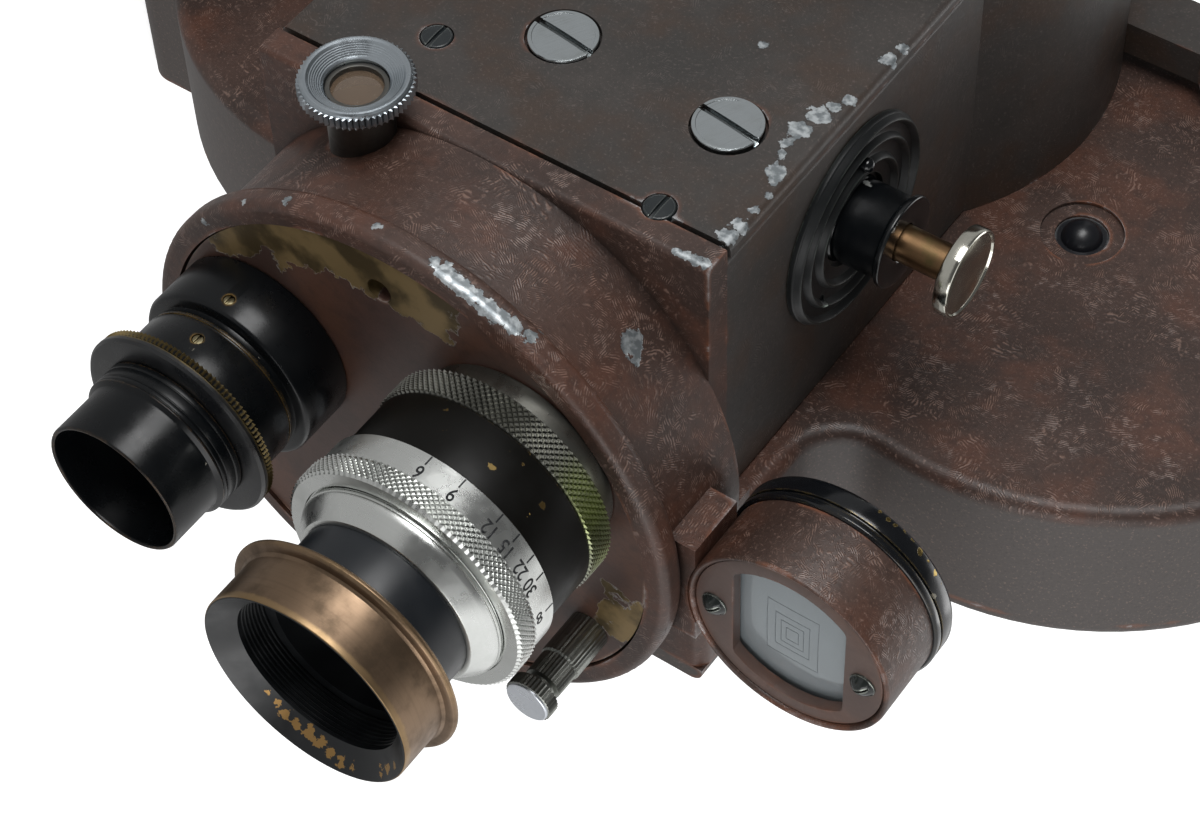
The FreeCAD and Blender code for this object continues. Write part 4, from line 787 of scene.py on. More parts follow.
@dataclass(frozen=True)
class GlossEnamel(Finish):
    """Hard black enamel on turned brass: smooth, with rubbed edges, a few flakes off and hairlines.

    Real hairlines are a few hundredths of a millimetre wide. They are drawn about ten times as wide,
    and fainter, so that they show.
    """

    bare: str = "#a08048"
    hairline: str = "#4a4d50"
    flake: str = "#7b776c"
    edge_reach: float = 0.7
    edge_wear: float = 0.5
    flakes: float = 0.5
    specular: float = 0.5
    chips: tuple[Mark, ...] = ()

    def build(self, add: Adder, place: Socket) -> Socket:
        """Lay out enamel, flakes, hairlines, worn edges and chips.

        Args:
            add: adds a node to the material.
            place: coordinates in millimetres.

        Returns:
            The shader.
        """
        haze = add("TexNoise", [place, 1 / 7.0, 5.0, 0.65])
        ragged = add("TexNoise", [place, 1.3, 4.0, 0.6])
        cells = add("TexVoronoi", {"Vector": place, "Scale": 0.22})
        chance = add("SeparateColor", [cells.node.outputs["Color"]])
        flake_r = add("MapRange", [chance, 0.45, 1.0, -0.05, 0.16 * self.flakes])
        wander = add("Math", [ragged, 0.5], operation="SUBTRACT")
        apart = add("Math", [wander, 0.55, cells], operation="MULTIPLY_ADD")
        flaked = add("Math", [apart, flake_r], operation="LESS_THAN")
        brushed = add("Mapping", {"Vector": place, "Scale": (0.15, 2.6, 2.2), "Rotation": (0.5, 0.3, 0.7)})
        lines = add("TexNoise", [brushed, 1.0, 6.0, 0.7])
        uneven = add("TexNoise", [place, 0.5, 6.0, 0.65])
        rub = add("Math", [uneven, 0.4, worn_edges(add, self.edge_reach)], operation="MULTIPLY_ADD")
        bare = add("MapRange", [rub, 0.54, 0.62, 0.0, self.edge_wear], **SOFT)
        if self.chips:
            bare = add("Math", [bare, marks(add, place, self.chips, 0.4)], operation="MAXIMUM")
        enamel = coats(add, linear(self.colour), [(lines, 0.66, 0.74, 0.25, self.hairline)])
        enamel = add("Mix", [flaked, enamel, linear(self.flake)], **COLOURS)
        low = add("Math", [bare, flaked], operation="MAXIMUM")
        waves = add("Math", [haze, 0.01], operation="MULTIPLY")
        height = add("Math", [low, -0.02, waves], operation="MULTIPLY_ADD")
        gloss = add("MapRange", [haze, 0.3, 0.7, self.roughness - 0.05, self.roughness + 0.1], **SOFT)
        return add("BsdfPrincipled", {
            "Base Color": add("Mix", [bare, enamel, linear(self.bare)], **COLOURS), "Metallic": bare,
            "Roughness": gloss, "Specular IOR Level": self.specular,
            "Normal": add("Bump", {"Strength": 1.0, "Distance": MM, "Height": height})})


@dataclass(frozen=True)
class TurnedMetal(Finish):
    """Metal cut on a lathe: fine rings round its line, with tarnish in soft blotches.

    Lathe marks lie about 0.05 mm apart, which is too fine to show, so they are drawn at ring_pitch.
    """

    tarnish: str = "#6d6f70"
    tarnish_share: float = 0.4
    blotch: float = 5.0
    ring_pitch: float = 0.28
    ring_height: float = 0.004
    origin: tuple[float, float, float] = (0.0, 0.0, 0.0)
    along: tuple[float, float, float] = (0.0, 1.0, 0.0)
    metallic: float = 1.0
    # Dirt and painted shade in the hollows: its colour, how far the rays look, and where the darkening
    # begins.
    dirt_and_shade: str = "#1c1a17"
    dirt_and_shade_reach: float = 0.0
    dirt_and_shade_start: float = 0.78

    def build(self, add: Adder, place: Socket) -> Socket:
        """Lay out lathe rings, tarnish, and dirt with painted shade in the hollows.

        Args:
            add: adds a node to the material.
            place: coordinates in millimetres.

        Returns:
            The shader.
        """
        offset = add("VectorMath", [place, self.origin], operation="SUBTRACT")
        along = add("VectorMath", [offset, self.along], operation="DOT_PRODUCT")
        flat = [1.0 - abs(part) for part in self.along]
        across = add("VectorMath", [offset, flat], operation="MULTIPLY")
        radius = add("VectorMath", [across], operation="LENGTH")
        rings = add("TexNoise", [add("CombineXYZ", [along, radius]), 1 / self.ring_pitch, 4.0, 0.7])
        blotches = add("TexNoise", [place, 1 / self.blotch, 6.0, 0.62])
        skin = coats(add, linear(self.colour), [
            (blotches, 0.42, 0.72, self.tarnish_share, self.tarnish),
            (rings, 0.45, 0.8, 0.25, self.tarnish)])
        # Painted shade with dirt: hollows darken where rays from the surface soon meet the piece again.
        if self.dirt_and_shade_reach:
            reach = self.dirt_and_shade_reach * MM
            hollow_shade = add("AmbientOcclusion", {"Distance": reach}, out="AO", only_local=True, samples=8)
            skin = coats(add, skin, [(hollow_shade, self.dirt_and_shade_start, self.dirt_and_shade_start - 0.4, 0.85, self.dirt_and_shade)])
        height = add("Math", [rings, self.ring_height], operation="MULTIPLY")
        gloss = add("MapRange", [blotches, 0.3, 0.75, self.roughness - 0.06, self.roughness + 0.14], **SOFT)
        return add("BsdfPrincipled", {
            "Base Color": skin, "Metallic": self.metallic, "Roughness": gloss,
            "Normal": add("Bump", {"Strength": 1.0, "Distance": MM, "Height": height})})


@dataclass(frozen=True)
class PatchedMetal(TurnedMetal):
    """Darkened metal with ragged places where the dark skin is rubbed through to brass."""

    under: str = "#b08a50"
    spots: tuple[Mark, ...] = ()
    stain: str = "#7d8a3c"
    stain_share: float = 0.5
    stained: tuple[Mark, ...] = ()
    edge_reach: float = 0.8
    edge_wear: float = 0.7
    rub_size: float = 2.6

    def build(self, add: Adder, place: Socket) -> Socket:
        """Add the rubbed and stained places to the turned metal.

        Args:
            add: adds a node to the material.
            place: coordinates in millimetres.

        Returns:
            The shader.
        """
        shader = super().build(add, place).node
        skin = shader.inputs["Base Color"].links[0].from_socket
        uneven = add("TexNoise", [place, 1 / self.rub_size, 6.0, 0.65])
        rub = add("Math", [uneven, 0.3, worn_edges(add, self.edge_reach)], operation="MULTIPLY_ADD")
        bare = add("MapRange", [rub, 0.38, 0.46, 0.0, self.edge_wear], **SOFT)
        if self.spots:
            bare = add("Math", [bare, marks(add, place, self.spots, 0.8)], operation="MAXIMUM")
        for x, y, z, radius in self.stained:
            apart = add("VectorMath", [place, (x, y, z)], operation="DISTANCE")
            skin = coats(add, skin, [(apart, radius, 0.2 * radius, self.stain_share, self.stain)])
        tree = shader.id_data
        tree.links.new(add("Mix", [bare, skin, linear(self.under)], **COLOURS), shader.inputs["Base Color"])
        if self.metallic < 1.0:
            tree.links.new(add("MapRange", [bare, 0.0, 1.0, self.metallic, 1.0]), shader.inputs["Metallic"])
        return shader.outputs[0]


@dataclass(frozen=True)
class Glass(Finish):
    """Polished optical glass with a faint tint and a little dust."""

    clearness: float = 1.0
    refraction: float = 1.52
    dust: str = "#c9c6bd"

    def build(self, add: Adder, place: Socket) -> Socket:
        """Lay out glass and dust.

        Args:
            add: adds a node to the material.
            place: coordinates in millimetres.

        Returns:
            The shader.
        """
        dust = add("MapRange", [add("TexNoise", [place, 1 / 0.9, 6.0, 0.7]), 0.6, 0.8], **SOFT)
        gloss = add("Math", [dust, 0.16, self.roughness], operation="MULTIPLY_ADD")
        veil = add("Math", [dust, 0.3], operation="MULTIPLY")
        return add("BsdfPrincipled", {
            "Base Color": add("Mix", [veil, linear(self.colour), linear(self.dust)], **COLOURS),
            "Roughness": gloss, "IOR": self.refraction, "Transmission Weight": self.clearness,
            "Coat Weight": 0.6, "Coat Roughness": 0.02})


def dress(piece: Piece, finish: Finish, body: str, stands_for: Sequence[str] = ()) -> None:
    """Give a new piece its finish, hang it on the body it rides on, and hide the CAD nodes it stands for.

    Args:
        piece: new piece.
        finish: its finish.
        body: body that it rides on.
        stands_for: CAD nodes that it replaces.
    """
    piece.data.materials.clear()
    piece.data.materials.append(finish.material())
    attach(piece, body)
    if stands_for:
        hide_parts(*stands_for)
    log.info("%s rides on %s, in %s", piece.name, body, finish.name)


def repaint(node: str, finish: Finish) -> None:
    """Give a CAD node that keeps its shape a finish.

    Args:
        node: the CAD node.
        finish: its finish.
    """
    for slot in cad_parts[node].material_slots:
        slot.material = finish.material()
    log.info("%s keeps its shape, in %s", node, finish.name)


def millimetre_place(point: Vector) -> tuple[float, float, float]:
    """A point of the row frame as plain millimetres, for a finish."""
    return tuple(round(part / MM, 3) for part in point)


@dataclass
class Castings:
    """Film case, door, front casting, mechanism case and covers, which keep their CAD shapes."""

    corner_r: float = 1.6
    rim_chips: tuple[Mark, ...] = (
        (-30.6, -103.7, 116.8, 0.9), (-30.3, -103.9, 118.5, 1.2), (-29.9, -104.2, 120.0, 1.2),
        (-29.4, -104.4, 121.7, 1.3), (-28.9, -104.4, 123.4, 1.2), (-28.1, -104.3, 125.3, 1.3),
        (-27.3, -104.2, 127.2, 1.2), (-26.3, -103.9, 129.2, 1.2), (-25.2, -103.6, 131.2, 0.9))
    casting_chips: tuple[Mark, ...] = (
        (-16.4, -105.5, 78.2, 0.6), (-24.4, -104.8, 85.4, 0.5), (-28.1, -104.0, 92.7, 0.6),
        (-31.3, -103.4, 107.2, 0.6), (-24.6, -101.0, 131.6, 0.9), (-17.1, -91.6, 138.3, 1.8),
        (-16.0, -92.6, 139.8, 1.0), (-29.2, -84.3, 140.1, 0.5), (-29.2, -84.1, 141.5, 0.8),
        (-29.2, -84.2, 143.0, 0.9), (-29.2, -83.9, 144.6, 0.8))
    edge_chips: tuple[Mark, ...] = (
        (-29.2, -57.7, 141.8, 1.6), (-29.2, -60.5, 141.6, 0.9), (-29.2, -54.0, 142.4, 1.7),
        (-29.2, -51.5, 143.2, 1.1), (-29.2, -49.4, 144.3, 1.0), (-29.2, -65.5, 143.2, 1.3),
        (-29.2, -67.2, 143.9, 0.8), (-29.2, -72.8, 144.7, 0.7), (-29.2, -76.1, 144.6, 1.2),
        (-29.2, -78.4, 144.2, 1.4), (-29.2, -40.0, 144.6, 1.2), (-29.2, -37.1, 145.2, 0.9),
        (-29.2, -47.2, 129.0, 0.7), (-29.2, -69.6, 144.9, 0.5), (-29.2, -62.6, 142.2, 0.6))
    disc_arcs: tuple[Arc, ...] = (
        (-142.0, 13.0, 35.8), (-160.0, 14.0, 32.8), (176.0, 14.5, 31.2), (73.0, 8.5, 33.8))

    def walnut(self) -> CrinkleEnamel:
        """Reddish brown stoved crinkle enamel, smoother on the film case's side wall and painted greyer there
        for its sheen and bounced light.
        """
        # Cast aluminium under stoved enamel: a satin brown with broken highlights on its ridges.
        wall_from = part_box("mechanism_case")[1].x / MM + self.corner_r
        return CrinkleEnamel("walnut_crinkle_enamel", "#412f28", 0.42, wall_from=wall_from, flecks=0.3)

    def front_walnut(self) -> CrinkleEnamel:
        """The same enamel on the front casting, chipped to aluminium along the turret's rim."""
        # Cast aluminium shows in the chips: pale, ragged spots with a soft shine.
        return CrinkleEnamel("chipped_walnut_crinkle_enamel", "#453129", 0.40, edge_wear=0.45, flecks=0.15,
                             chips=self.rim_chips + self.casting_chips)

    def grey_walnut(self) -> CrinkleEnamel:
        """Greyer, smoother crinkle enamel of the mechanism case, chipped along its upper edge.

        Returns:
            The finish.
        """
        # Enamel that hands have smoothed: few ridges, and a dull grey brown.
        return CrinkleEnamel("grey_walnut_crinkle_enamel", "#37322f", 0.44, shade="#292725", warm="#38291f",
                             fleck_and_highlight="#877b75", rubbed="#5a392b", ridge_share=0.6, ridge_height=0.025,
                             painted_ridge_highlight=0.35, peel=2.6, peel_height=0.08, patch=3.2, flecks=0.2,
                             chips=self.edge_chips)

    def disc_enamel(self) -> CrinkleEnamel:
        """Smooth brown enamel of the turret's brass disc, worn through beside its edge.

        Returns:
            The finish.
        """
        # Sprayed and stoved enamel on turned brass: nearly smooth, olive where old brass shows.
        low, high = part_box("turret_disc")
        return CrinkleEnamel(
            "worn_turret_enamel", "#4b342d", 0.38, shade="#34251f", warm="#523629", fleck_and_highlight="#6f564b",
            rubbed="#8a6a5a", ridge_share=0.3, ridge_height=0.012, painted_ridge_highlight=0.2, flecks=0.12, peel=1.6,
            peel_height=0.025, bare="#8d8a80", brass_arcs=self.disc_arcs,
            arc_centre=tuple((low + high) / 2), edge_reach=0.8)

    def build(self) -> None:
        """Dress the castings."""
        for node in ("film_case", "door"):
            repaint(node, self.walnut())
        repaint("front_casting", self.front_walnut())
        for node in ("mechanism_case", "mechanism_cover", "drum_cover", "rear_sight"):
            repaint(node, self.grey_walnut())
        repaint("turret_disc", self.disc_enamel())


@dataclass
class BlackLens:
    """Long gloss black lens. Sizes are millimetres in front of the disc, and radii."""

    tail_r: float = 12.25
    tail_back: float = -3.8
    light_r: float = 9.0
    base_r: float = 14.1
    base_end: float = 9.1
    groove_r: float = 12.1
    groove_end: float = 10.9
    neck_r: float = 12.5
    neck_end: float = 17.3
    ring_start: float = 17.5
    ring_grip: float = 18.5
    ring_end: float = 20.0
    ring_r: float = 15.2
    ring_teeth: int = 124
    tooth_h: float = 0.55
    tube_r: float = 10.9
    bore_r: float = 10.2
    collar_r: float = 11.7
    collar_start: float = 20.2
    collar_end: float = 24.0
    collar_grooves: tuple[float, ...] = (21.0, 22.6, 23.4)
    groove_depth: float = 0.1
    length: float = 32.6
    glass_out: float = 14.9
    glass_thick: float = 3.2
    glass_rim: float = 1.2
    screw_angle: float = 177.0
    screw_r: float = 0.75
    screw_outs: tuple[float, float] = (6.6, 13.3)
    screw_play: float = 0.12
    screw_sink: float = 0.12
    screw_half: float = 0.4
    slot_w: float = 0.4
    slot_depth: float = 0.35

    def __post_init__(self) -> None:
        """Find the lens's centre line in the frame."""
        self.line = Line.through("black_lens_tube", Axis.FRONT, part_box("turret_disc")[0].y)
        # Stoved enamel on turned brass: deep black with narrow highlights and a few pale flakes.
        self.enamel = GlossEnamel("gloss_black_enamel", "#0a0c0e", 0.27, flakes=0.5, specular=0.28)

    def barrel(self) -> Piece:
        """Base and neck, with a groove between them that holds a thin raised ring, and holes for the set
        screws.

        Returns:
            The barrel.
        """
        line = self.line
        profile = [(self.tail_back, self.light_r), (self.tail_back, self.tail_r), (0.0, self.tail_r),
                   (0.0, self.base_r - 0.3), (0.5, self.base_r), (self.base_end - 0.7, self.base_r),
                   (self.base_end - 0.2, self.base_r - 0.3), (self.base_end, self.base_r - 0.8),
                   (self.base_end, self.groove_r), (self.groove_end - 0.9, self.groove_r),
                   (self.groove_end - 0.9, self.neck_r - 0.15), (self.groove_end - 0.4, self.neck_r - 0.15),
                   (self.groove_end - 0.4, self.groove_r), (self.groove_end, self.groove_r),
                   (self.groove_end, self.neck_r), (self.neck_end, self.neck_r),
                   (self.neck_end, self.tube_r), (self.groove_end, self.tube_r),
                   (self.groove_end, self.light_r), (self.tail_back, self.light_r)]
        piece = bevelled(turned("black_lens_barrel_turned", line, profile, 160), 0.12)
        for out, radius in zip(self.screw_outs, (self.base_r, self.neck_r)):
            radial = line.radial(self.screw_angle)
            rim = line.at(out) + radial * radius * MM
            cut(piece, self.peg("set_screw_cutter", rim, radial, self.screw_r + self.screw_play, 1.0))
        return smooth(piece)

    def peg(self, name: str, centre: Vector, direction: Vector, radius: float, half: float) -> Piece:
        """Short cylinder along any direction.

        Args:
            name: piece name.
            centre: its middle.
            direction: unit vector along it.
            radius: its radius, in millimetres.
            half: half its length, in millimetres.

        Returns:
            The cylinder.
        """
        deselect()
        bpy.ops.mesh.primitive_cylinder_add(
            vertices=32, radius=radius * MM, depth=2 * half * MM, location=centre,
            rotation=direction.to_track_quat("Z", "Y").to_euler())
        piece = bpy.context.active_object
        piece.name = name
        bpy.ops.object.transform_apply(location=True, rotation=True, scale=True)
        return piece

    def set_screws(self) -> Piece:
        """Two slotted set screws in the side of the barrel.

        Returns:
            The screws, in one piece.
        """
        screws = []
        for out, radius in zip(self.screw_outs, (self.base_r, self.neck_r)):
            radial = self.line.radial(self.screw_angle)
            top = self.line.at(out) + radial * (radius - self.screw_sink) * MM
            middle = top - radial * self.screw_half * MM
            screw = self.peg("set_screw", middle, radial, self.screw_r, self.screw_half)
            side = self.line.axis.direction
            size = (4 * self.screw_r, self.slot_w, 2 * self.slot_depth)
            slot = bar("slot_cutter", top, (side, radial.cross(side), radial), size)
            screws.append(smooth(bevelled(cut(screw, slot), 0.08)))
        return joined("black_lens_set_screws", screws)

    def iris_ring(self) -> Piece:
        """Iris ring: brassy teeth round its rear edge, a smooth rim and a coned front.

        Returns:
            The ring.
        """
        profile = [(self.ring_start, self.tube_r + 0.05), (self.ring_start, self.ring_r - 0.1),
                   (self.ring_grip, self.ring_r - 0.1), (self.ring_grip + 0.05, self.ring_r - self.tooth_h),
                   (self.ring_grip + 0.25, self.ring_r - self.tooth_h), (self.ring_grip + 0.3, self.ring_r),
                   (self.ring_end - 0.6, self.ring_r), (self.ring_end - 0.2, self.ring_r - 0.35),
                   (self.ring_end, self.ring_r - 1.2), (self.ring_end, self.tube_r + 0.05),
                   (self.ring_start, self.tube_r + 0.05)]
        sides = 2 * self.ring_teeth
        piece = turned("black_lens_iris_ring_turned", self.line, profile, sides)
        span = (self.ring_start - 0.1, self.ring_grip + 0.1)
        straight_knurl(piece, self.line, span, self.ring_r - 0.1, self.tooth_h, sides)
        return smooth(piece, 30)

    def tube(self) -> Piece:
        """Front tube with the grooved collar behind it and a thin rolled lip.

        Returns:
            The tube.
        """
        rear_bore = self.bore_r - 1.5
        start = self.groove_end
        seat = start + 4.0
        points = [(start, rear_bore), (start, self.tube_r), (self.collar_start, self.tube_r),
                  (self.collar_start, self.collar_r)]
        for near in self.collar_grooves:
            points += [(near, self.collar_r), (near + 0.08, self.collar_r - self.groove_depth),
                       (near + 0.2, self.collar_r - self.groove_depth), (near + 0.28, self.collar_r)]
        lip = self.length
        points += [
            (self.collar_end - 0.1, self.collar_r), (self.collar_end + 0.35, self.tube_r + 0.12),
            (self.collar_end + 0.8, self.tube_r), (lip - 0.35, self.tube_r),
            (lip - 0.1, self.tube_r - 0.12), (lip, self.tube_r - 0.35), (lip - 0.1, self.bore_r + 0.08),
            (lip - 0.5, self.bore_r), (seat + 8, self.bore_r), (seat + 8, self.bore_r - 0.35),
            (seat + 6, self.bore_r - 0.6), (seat, self.bore_r - 0.6), (seat, rear_bore), (start, rear_bore)]
        return smooth(bevelled(turned("black_lens_tube_turned", self.line, points, 160), 0.05), 40)

    def glass(self) -> Piece:
        """Domed front element.

        Returns:
            The glass.
        """
        edge = self.bore_r - 0.65
        rim = self.glass_out + self.glass_rim
        profile = [(self.glass_out, edge), *dome(rim, self.glass_thick - self.glass_rim, edge)]
        return smooth(turned("black_lens_front_element", self.line, profile, 96, solid=True), 40)

    def build(self) -> None:
        """Model and dress the black lens."""
        origin = millimetre_place(self.line.origin)
        # Blacked brass with milled teeth: dark hollows, and brass rubbed free on every tip.
        brass_teeth = PatchedMetal("blacked_brass_teeth", "#131416", 0.28, tarnish="#222324", metallic=0.0,
                                   under="#75653f", edge_reach=0.45, edge_wear=0.7, origin=origin)
        dress(self.barrel(), self.enamel, "turret", ["black_lens_barrel"])
        # Turned brass: warm, with darker rings.
        screw = TurnedMetal("turned_screw_brass", "#8d8468", 0.34, tarnish="#4c4434", origin=origin)
        dress(self.set_screws(), screw, "turret", ["black_lens_screws"])
        dress(self.iris_ring(), brass_teeth, "black_iris", ["black_lens_iris_ring"])
        # The same enamel, worn thinner by caps: a line of brass shows along the lip.
        tube = GlossEnamel("gloss_black_tube_enamel", "#090b0d", 0.25, bare="#8d6f4e", edge_wear=0.85,
                           edge_reach=0.5, flakes=0.4, specular=0.28)
        dress(self.tube(), tube, "turret", ["black_lens_tube"])
        # Ground, polished and coated glass: clear and sharp, with a faint blue cast.
        glass = Glass("coated_lens_glass", "#dfe6f2", 0.01)
        dress(self.glass(), glass, "turret", ["black_lens_glass"])


@dataclass
class BrightLens:
    """Short lens with a knurled base, an engraved distance ring and a bronze hood."""

    tail_r: float = 12.25
    tail_back: float = -3.8
    light_r: float = 10.0
    seat_r: float = 15.0
    seat_end: float = 4.2
    base_r: float = 17.7
    base_end: float = 8.6
    base_diamonds: int = 108
    base_rows: int = 8
    barrel_r: float = 17.3
    barrel_end: float = 17.5
    scale_r: float = 18.1
    scale_start: float = 17.7
    scale_end: float = 21.9
    grip_r: float = 18.6
    grip_end: float = 25.0
    lip_end: float = 25.4
    grip_diamonds: int = 112
    grip_rows: int = 7
    sleeve_r: float = 14.3
    guide_r: float = 15.25
    guide_end: float = 24.4
    cone_r: float = 15.8
    cone_step_r: float = 15.1
    cone_tip_r: float = 13.7
    cone_start: float = 25.7
    cone_end: float = 29.2
    tube_r: float = 12.9
    tube_bore: float = 11.5
    tube_end: float = 36.4
    hood_start: float = 36.4
    flange_r: float = 17.6
    flange_end: float = 37.9
    hood_r: float = 15.9
    hood_end: float = 45.7
    hood_bore: float = 12.6
    hood_mouth: float = 15.72
    lining_r: float = 14.7
    back_wall: float = 0.75
    mouth_depth: float = 2.6
    rib_count: int = 8
    rib_pitch: float = 0.62
    rib_depth: float = 0.3
    knurl_depth: float = 0.42
    digit_height: float = 2.0
    digit_lift: float = 0.85
    digit_narrow: float = 0.8
    tick_length: float = 1.5
    tick_w: float = 0.22
    mark_lift: float = 0.4
    mark_proud: float = 0.015
    mark_thick: float = 0.03
    numbers: tuple[tuple[str, float], ...] = (
        ("6", 178.0), ("9", 161.5), ("12", 141.5), ("15", 131.0), ("22", 120.0), ("30", 110.5), ("∞", 92.0))

    def __post_init__(self) -> None:
        """Find the lens's centre line in the frame."""
        self.line = Line.through("bright_lens_mount", Axis.FRONT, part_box("turret_disc")[0].y)

    def mount(self) -> Piece:
        """Seat and diamond-knurled base ring.

        Returns:
            The mount.
        """
        band = (self.seat_end + 0.2, self.base_end - 0.2)
        profile = [(self.tail_back, self.light_r), (self.tail_back, self.tail_r), (0.0, self.tail_r),
                   (0.0, self.seat_r - 0.2), (0.2, self.seat_r), (self.seat_end, self.seat_r),
                   (self.seat_end, self.base_r - 0.5), *steps(*band, self.base_rows, self.base_r),
                   (self.base_end, self.base_r - 0.6), (self.base_end, self.light_r),
                   (self.tail_back, self.light_r)]
        sides = 2 * self.base_diamonds
        piece = turned("bright_lens_mount_knurled", self.line, profile, sides)
        diamond_knurl(piece, self.line, band, self.base_rows, self.base_r, self.knurl_depth, sides)
        return smooth(piece, 20)

    def barrel(self) -> Piece:
        """Plain black barrel between the base and the distance ring.

        Returns:
            The barrel.
        """
        bore = self.sleeve_r + 0.05
        profile = [(self.base_end, bore), (self.base_end, self.barrel_r - 0.2),
                   (self.base_end + 0.2, self.barrel_r), (self.barrel_end - 0.5, self.barrel_r),
                   (self.barrel_end - 0.1, self.barrel_r - 0.15), (self.barrel_end, self.barrel_r - 0.5),
                   (self.barrel_end, self.guide_r - 0.05), (self.guide_end, self.guide_r - 0.05),
                   (self.guide_end, bore), (self.base_end, bore)]
        return smooth(bevelled(turned("bright_lens_barrel_turned", self.line, profile, 160), 0.06))

    def focus_ring(self) -> Piece:
        """Distance ring and its diamond-knurled grip, in one piece.

        Returns:
            The ring.
        """
        band = (self.scale_end + 0.15, self.grip_end)
        inner = self.guide_r + 0.05
        profile = [(self.scale_start, inner), (self.scale_start, self.scale_r - 0.12),
                   (self.scale_start + 0.12, self.scale_r), (self.scale_end, self.scale_r),
                   *steps(*band, self.grip_rows, self.grip_r), (self.lip_end, self.grip_r - 0.6),
                   (self.lip_end, self.cone_r + 0.25), (self.lip_end - 0.35, self.cone_r + 0.15),
                   (self.lip_end - 0.35, inner), (self.scale_start, inner)]
        sides = 2 * self.grip_diamonds
        piece = turned("bright_lens_focus_ring_knurled", self.line, profile, sides)
        diamond_knurl(piece, self.line, band, self.grip_rows, self.grip_r, self.knurl_depth, sides)
        return smooth(piece, 20)

    def digit(self, text: str, degrees: float) -> Piece:
        """One number of the distance scale, its top towards the front, laid flat on the ring.

        Args:
            text: number to write.
            degrees: its angle round the ring.

        Returns:
            The number as a flat mesh.
        """
        deselect()
        bpy.ops.object.text_add()
        words = bpy.context.active_object
        words.data.body = text
        cap_share = 0.70
        words.data.size = self.digit_height * MM / cap_share
        words.data.align_x = "CENTER"
        words.data.align_y = "CENTER"
        words.data.resolution_u = 4
        words.data.offset = 0.03 * MM
        bpy.ops.object.convert(target="MESH")
        outward = self.line.radial(degrees)
        upward = self.line.axis.direction
        axes = Matrix([upward.cross(outward) * self.digit_narrow, upward, outward]).transposed().to_4x4()
        middle = (self.scale_start + self.scale_end) / 2 + self.digit_lift
        axes.translation = self.line.spot(middle, self.scale_r + self.mark_lift, degrees)
        words.matrix_world = axes
        bpy.ops.object.transform_apply(location=True, rotation=True, scale=True)
        return words

    def tick(self, degrees: float) -> Piece:
        """Short index line at the rear edge of the distance ring.

        Args:
            degrees: its angle round the ring.

        Returns:
            The line as a flat mesh.
        """
        outward = self.line.radial(degrees)
        upward = self.line.axis.direction
        out = self.scale_start + 0.2 + self.tick_length / 2
        deselect()
        bpy.ops.mesh.primitive_plane_add(size=1.0)
        line = bpy.context.active_object
        width = upward.cross(outward) * self.tick_w * MM
        axes = Matrix([width, upward * self.tick_length * MM, outward]).transposed().to_4x4()
        axes.translation = self.line.spot(out, self.scale_r + self.mark_lift, degrees)
        line.matrix_world = axes
        bpy.ops.object.transform_apply(location=True, rotation=True, scale=True)
        return line

    def scale_marks(self, ring: Piece) -> Piece:
        """Filled engraving: plain distance numbers and ticks, shrunk on to the ring.

        Args:
            ring: ring that carries the marks.

        Returns:
            The marks, in one piece.
        """
        parts = [self.digit(text, degrees) for text, degrees in self.numbers]
        parts += [self.tick(degrees) for _, degrees in self.numbers]
        piece = joined("bright_lens_distance_marks", parts)
        modified(piece, "SHRINKWRAP", target=ring, wrap_method="PROJECT", use_negative_direction=True,
                 use_positive_direction=True, offset=self.mark_proud * MM, project_limit=1.0 * MM)
        return modified(piece, "SOLIDIFY", thickness=self.mark_thick * MM, offset=0.0)

    def cone(self) -> Piece:
        """Bright cell: a rounded shoulder, a fine groove and a stepped cone.

        Returns:
            The cell.
        """
        inner = self.sleeve_r - 1.2
        back = self.base_end + 3.0
        profile = [
            (back, inner), (back, self.sleeve_r), (self.cone_start - 0.4, self.sleeve_r),
            (self.cone_start - 0.4, self.cone_r - 0.1), (self.cone_start, self.cone_r),
            (self.cone_start + 0.3, self.cone_r), (self.cone_start + 0.35, self.cone_r - 0.25),
            (self.cone_start + 0.55, self.cone_r - 0.3), (self.cone_start + 0.6, self.cone_r - 0.1),
            (self.cone_start + 1.3, self.cone_step_r + 0.2), (self.cone_end - 0.4, self.cone_tip_r + 0.1),
            (self.cone_end - 0.1, self.cone_tip_r - 0.1), (self.cone_end, self.cone_tip_r - 0.4),
            (self.cone_end, self.tube_r), (self.cone_end - 1.0, self.tube_r), (self.cone_end - 1.0, inner),
            (back, inner)]
        return smooth(bevelled(turned("bright_lens_cone", self.line, profile, 160), 0.05), 30)

    def tube(self) -> Piece:
        """Black front tube that carries the hood.

        Returns:
            The tube.
        """
        back = self.cone_end - 0.9
        profile = [(back, self.tube_bore), (back, self.tube_r), (self.cone_end + 0.4, self.tube_r),
                   (self.tube_end - 0.3, self.tube_r - 0.05), (self.tube_end, self.tube_r - 0.3),
                   (self.tube_end, self.tube_bore), (back, self.tube_bore)]
        return smooth(bevelled(turned("bright_lens_front_tube", self.line, profile, 160), 0.05))

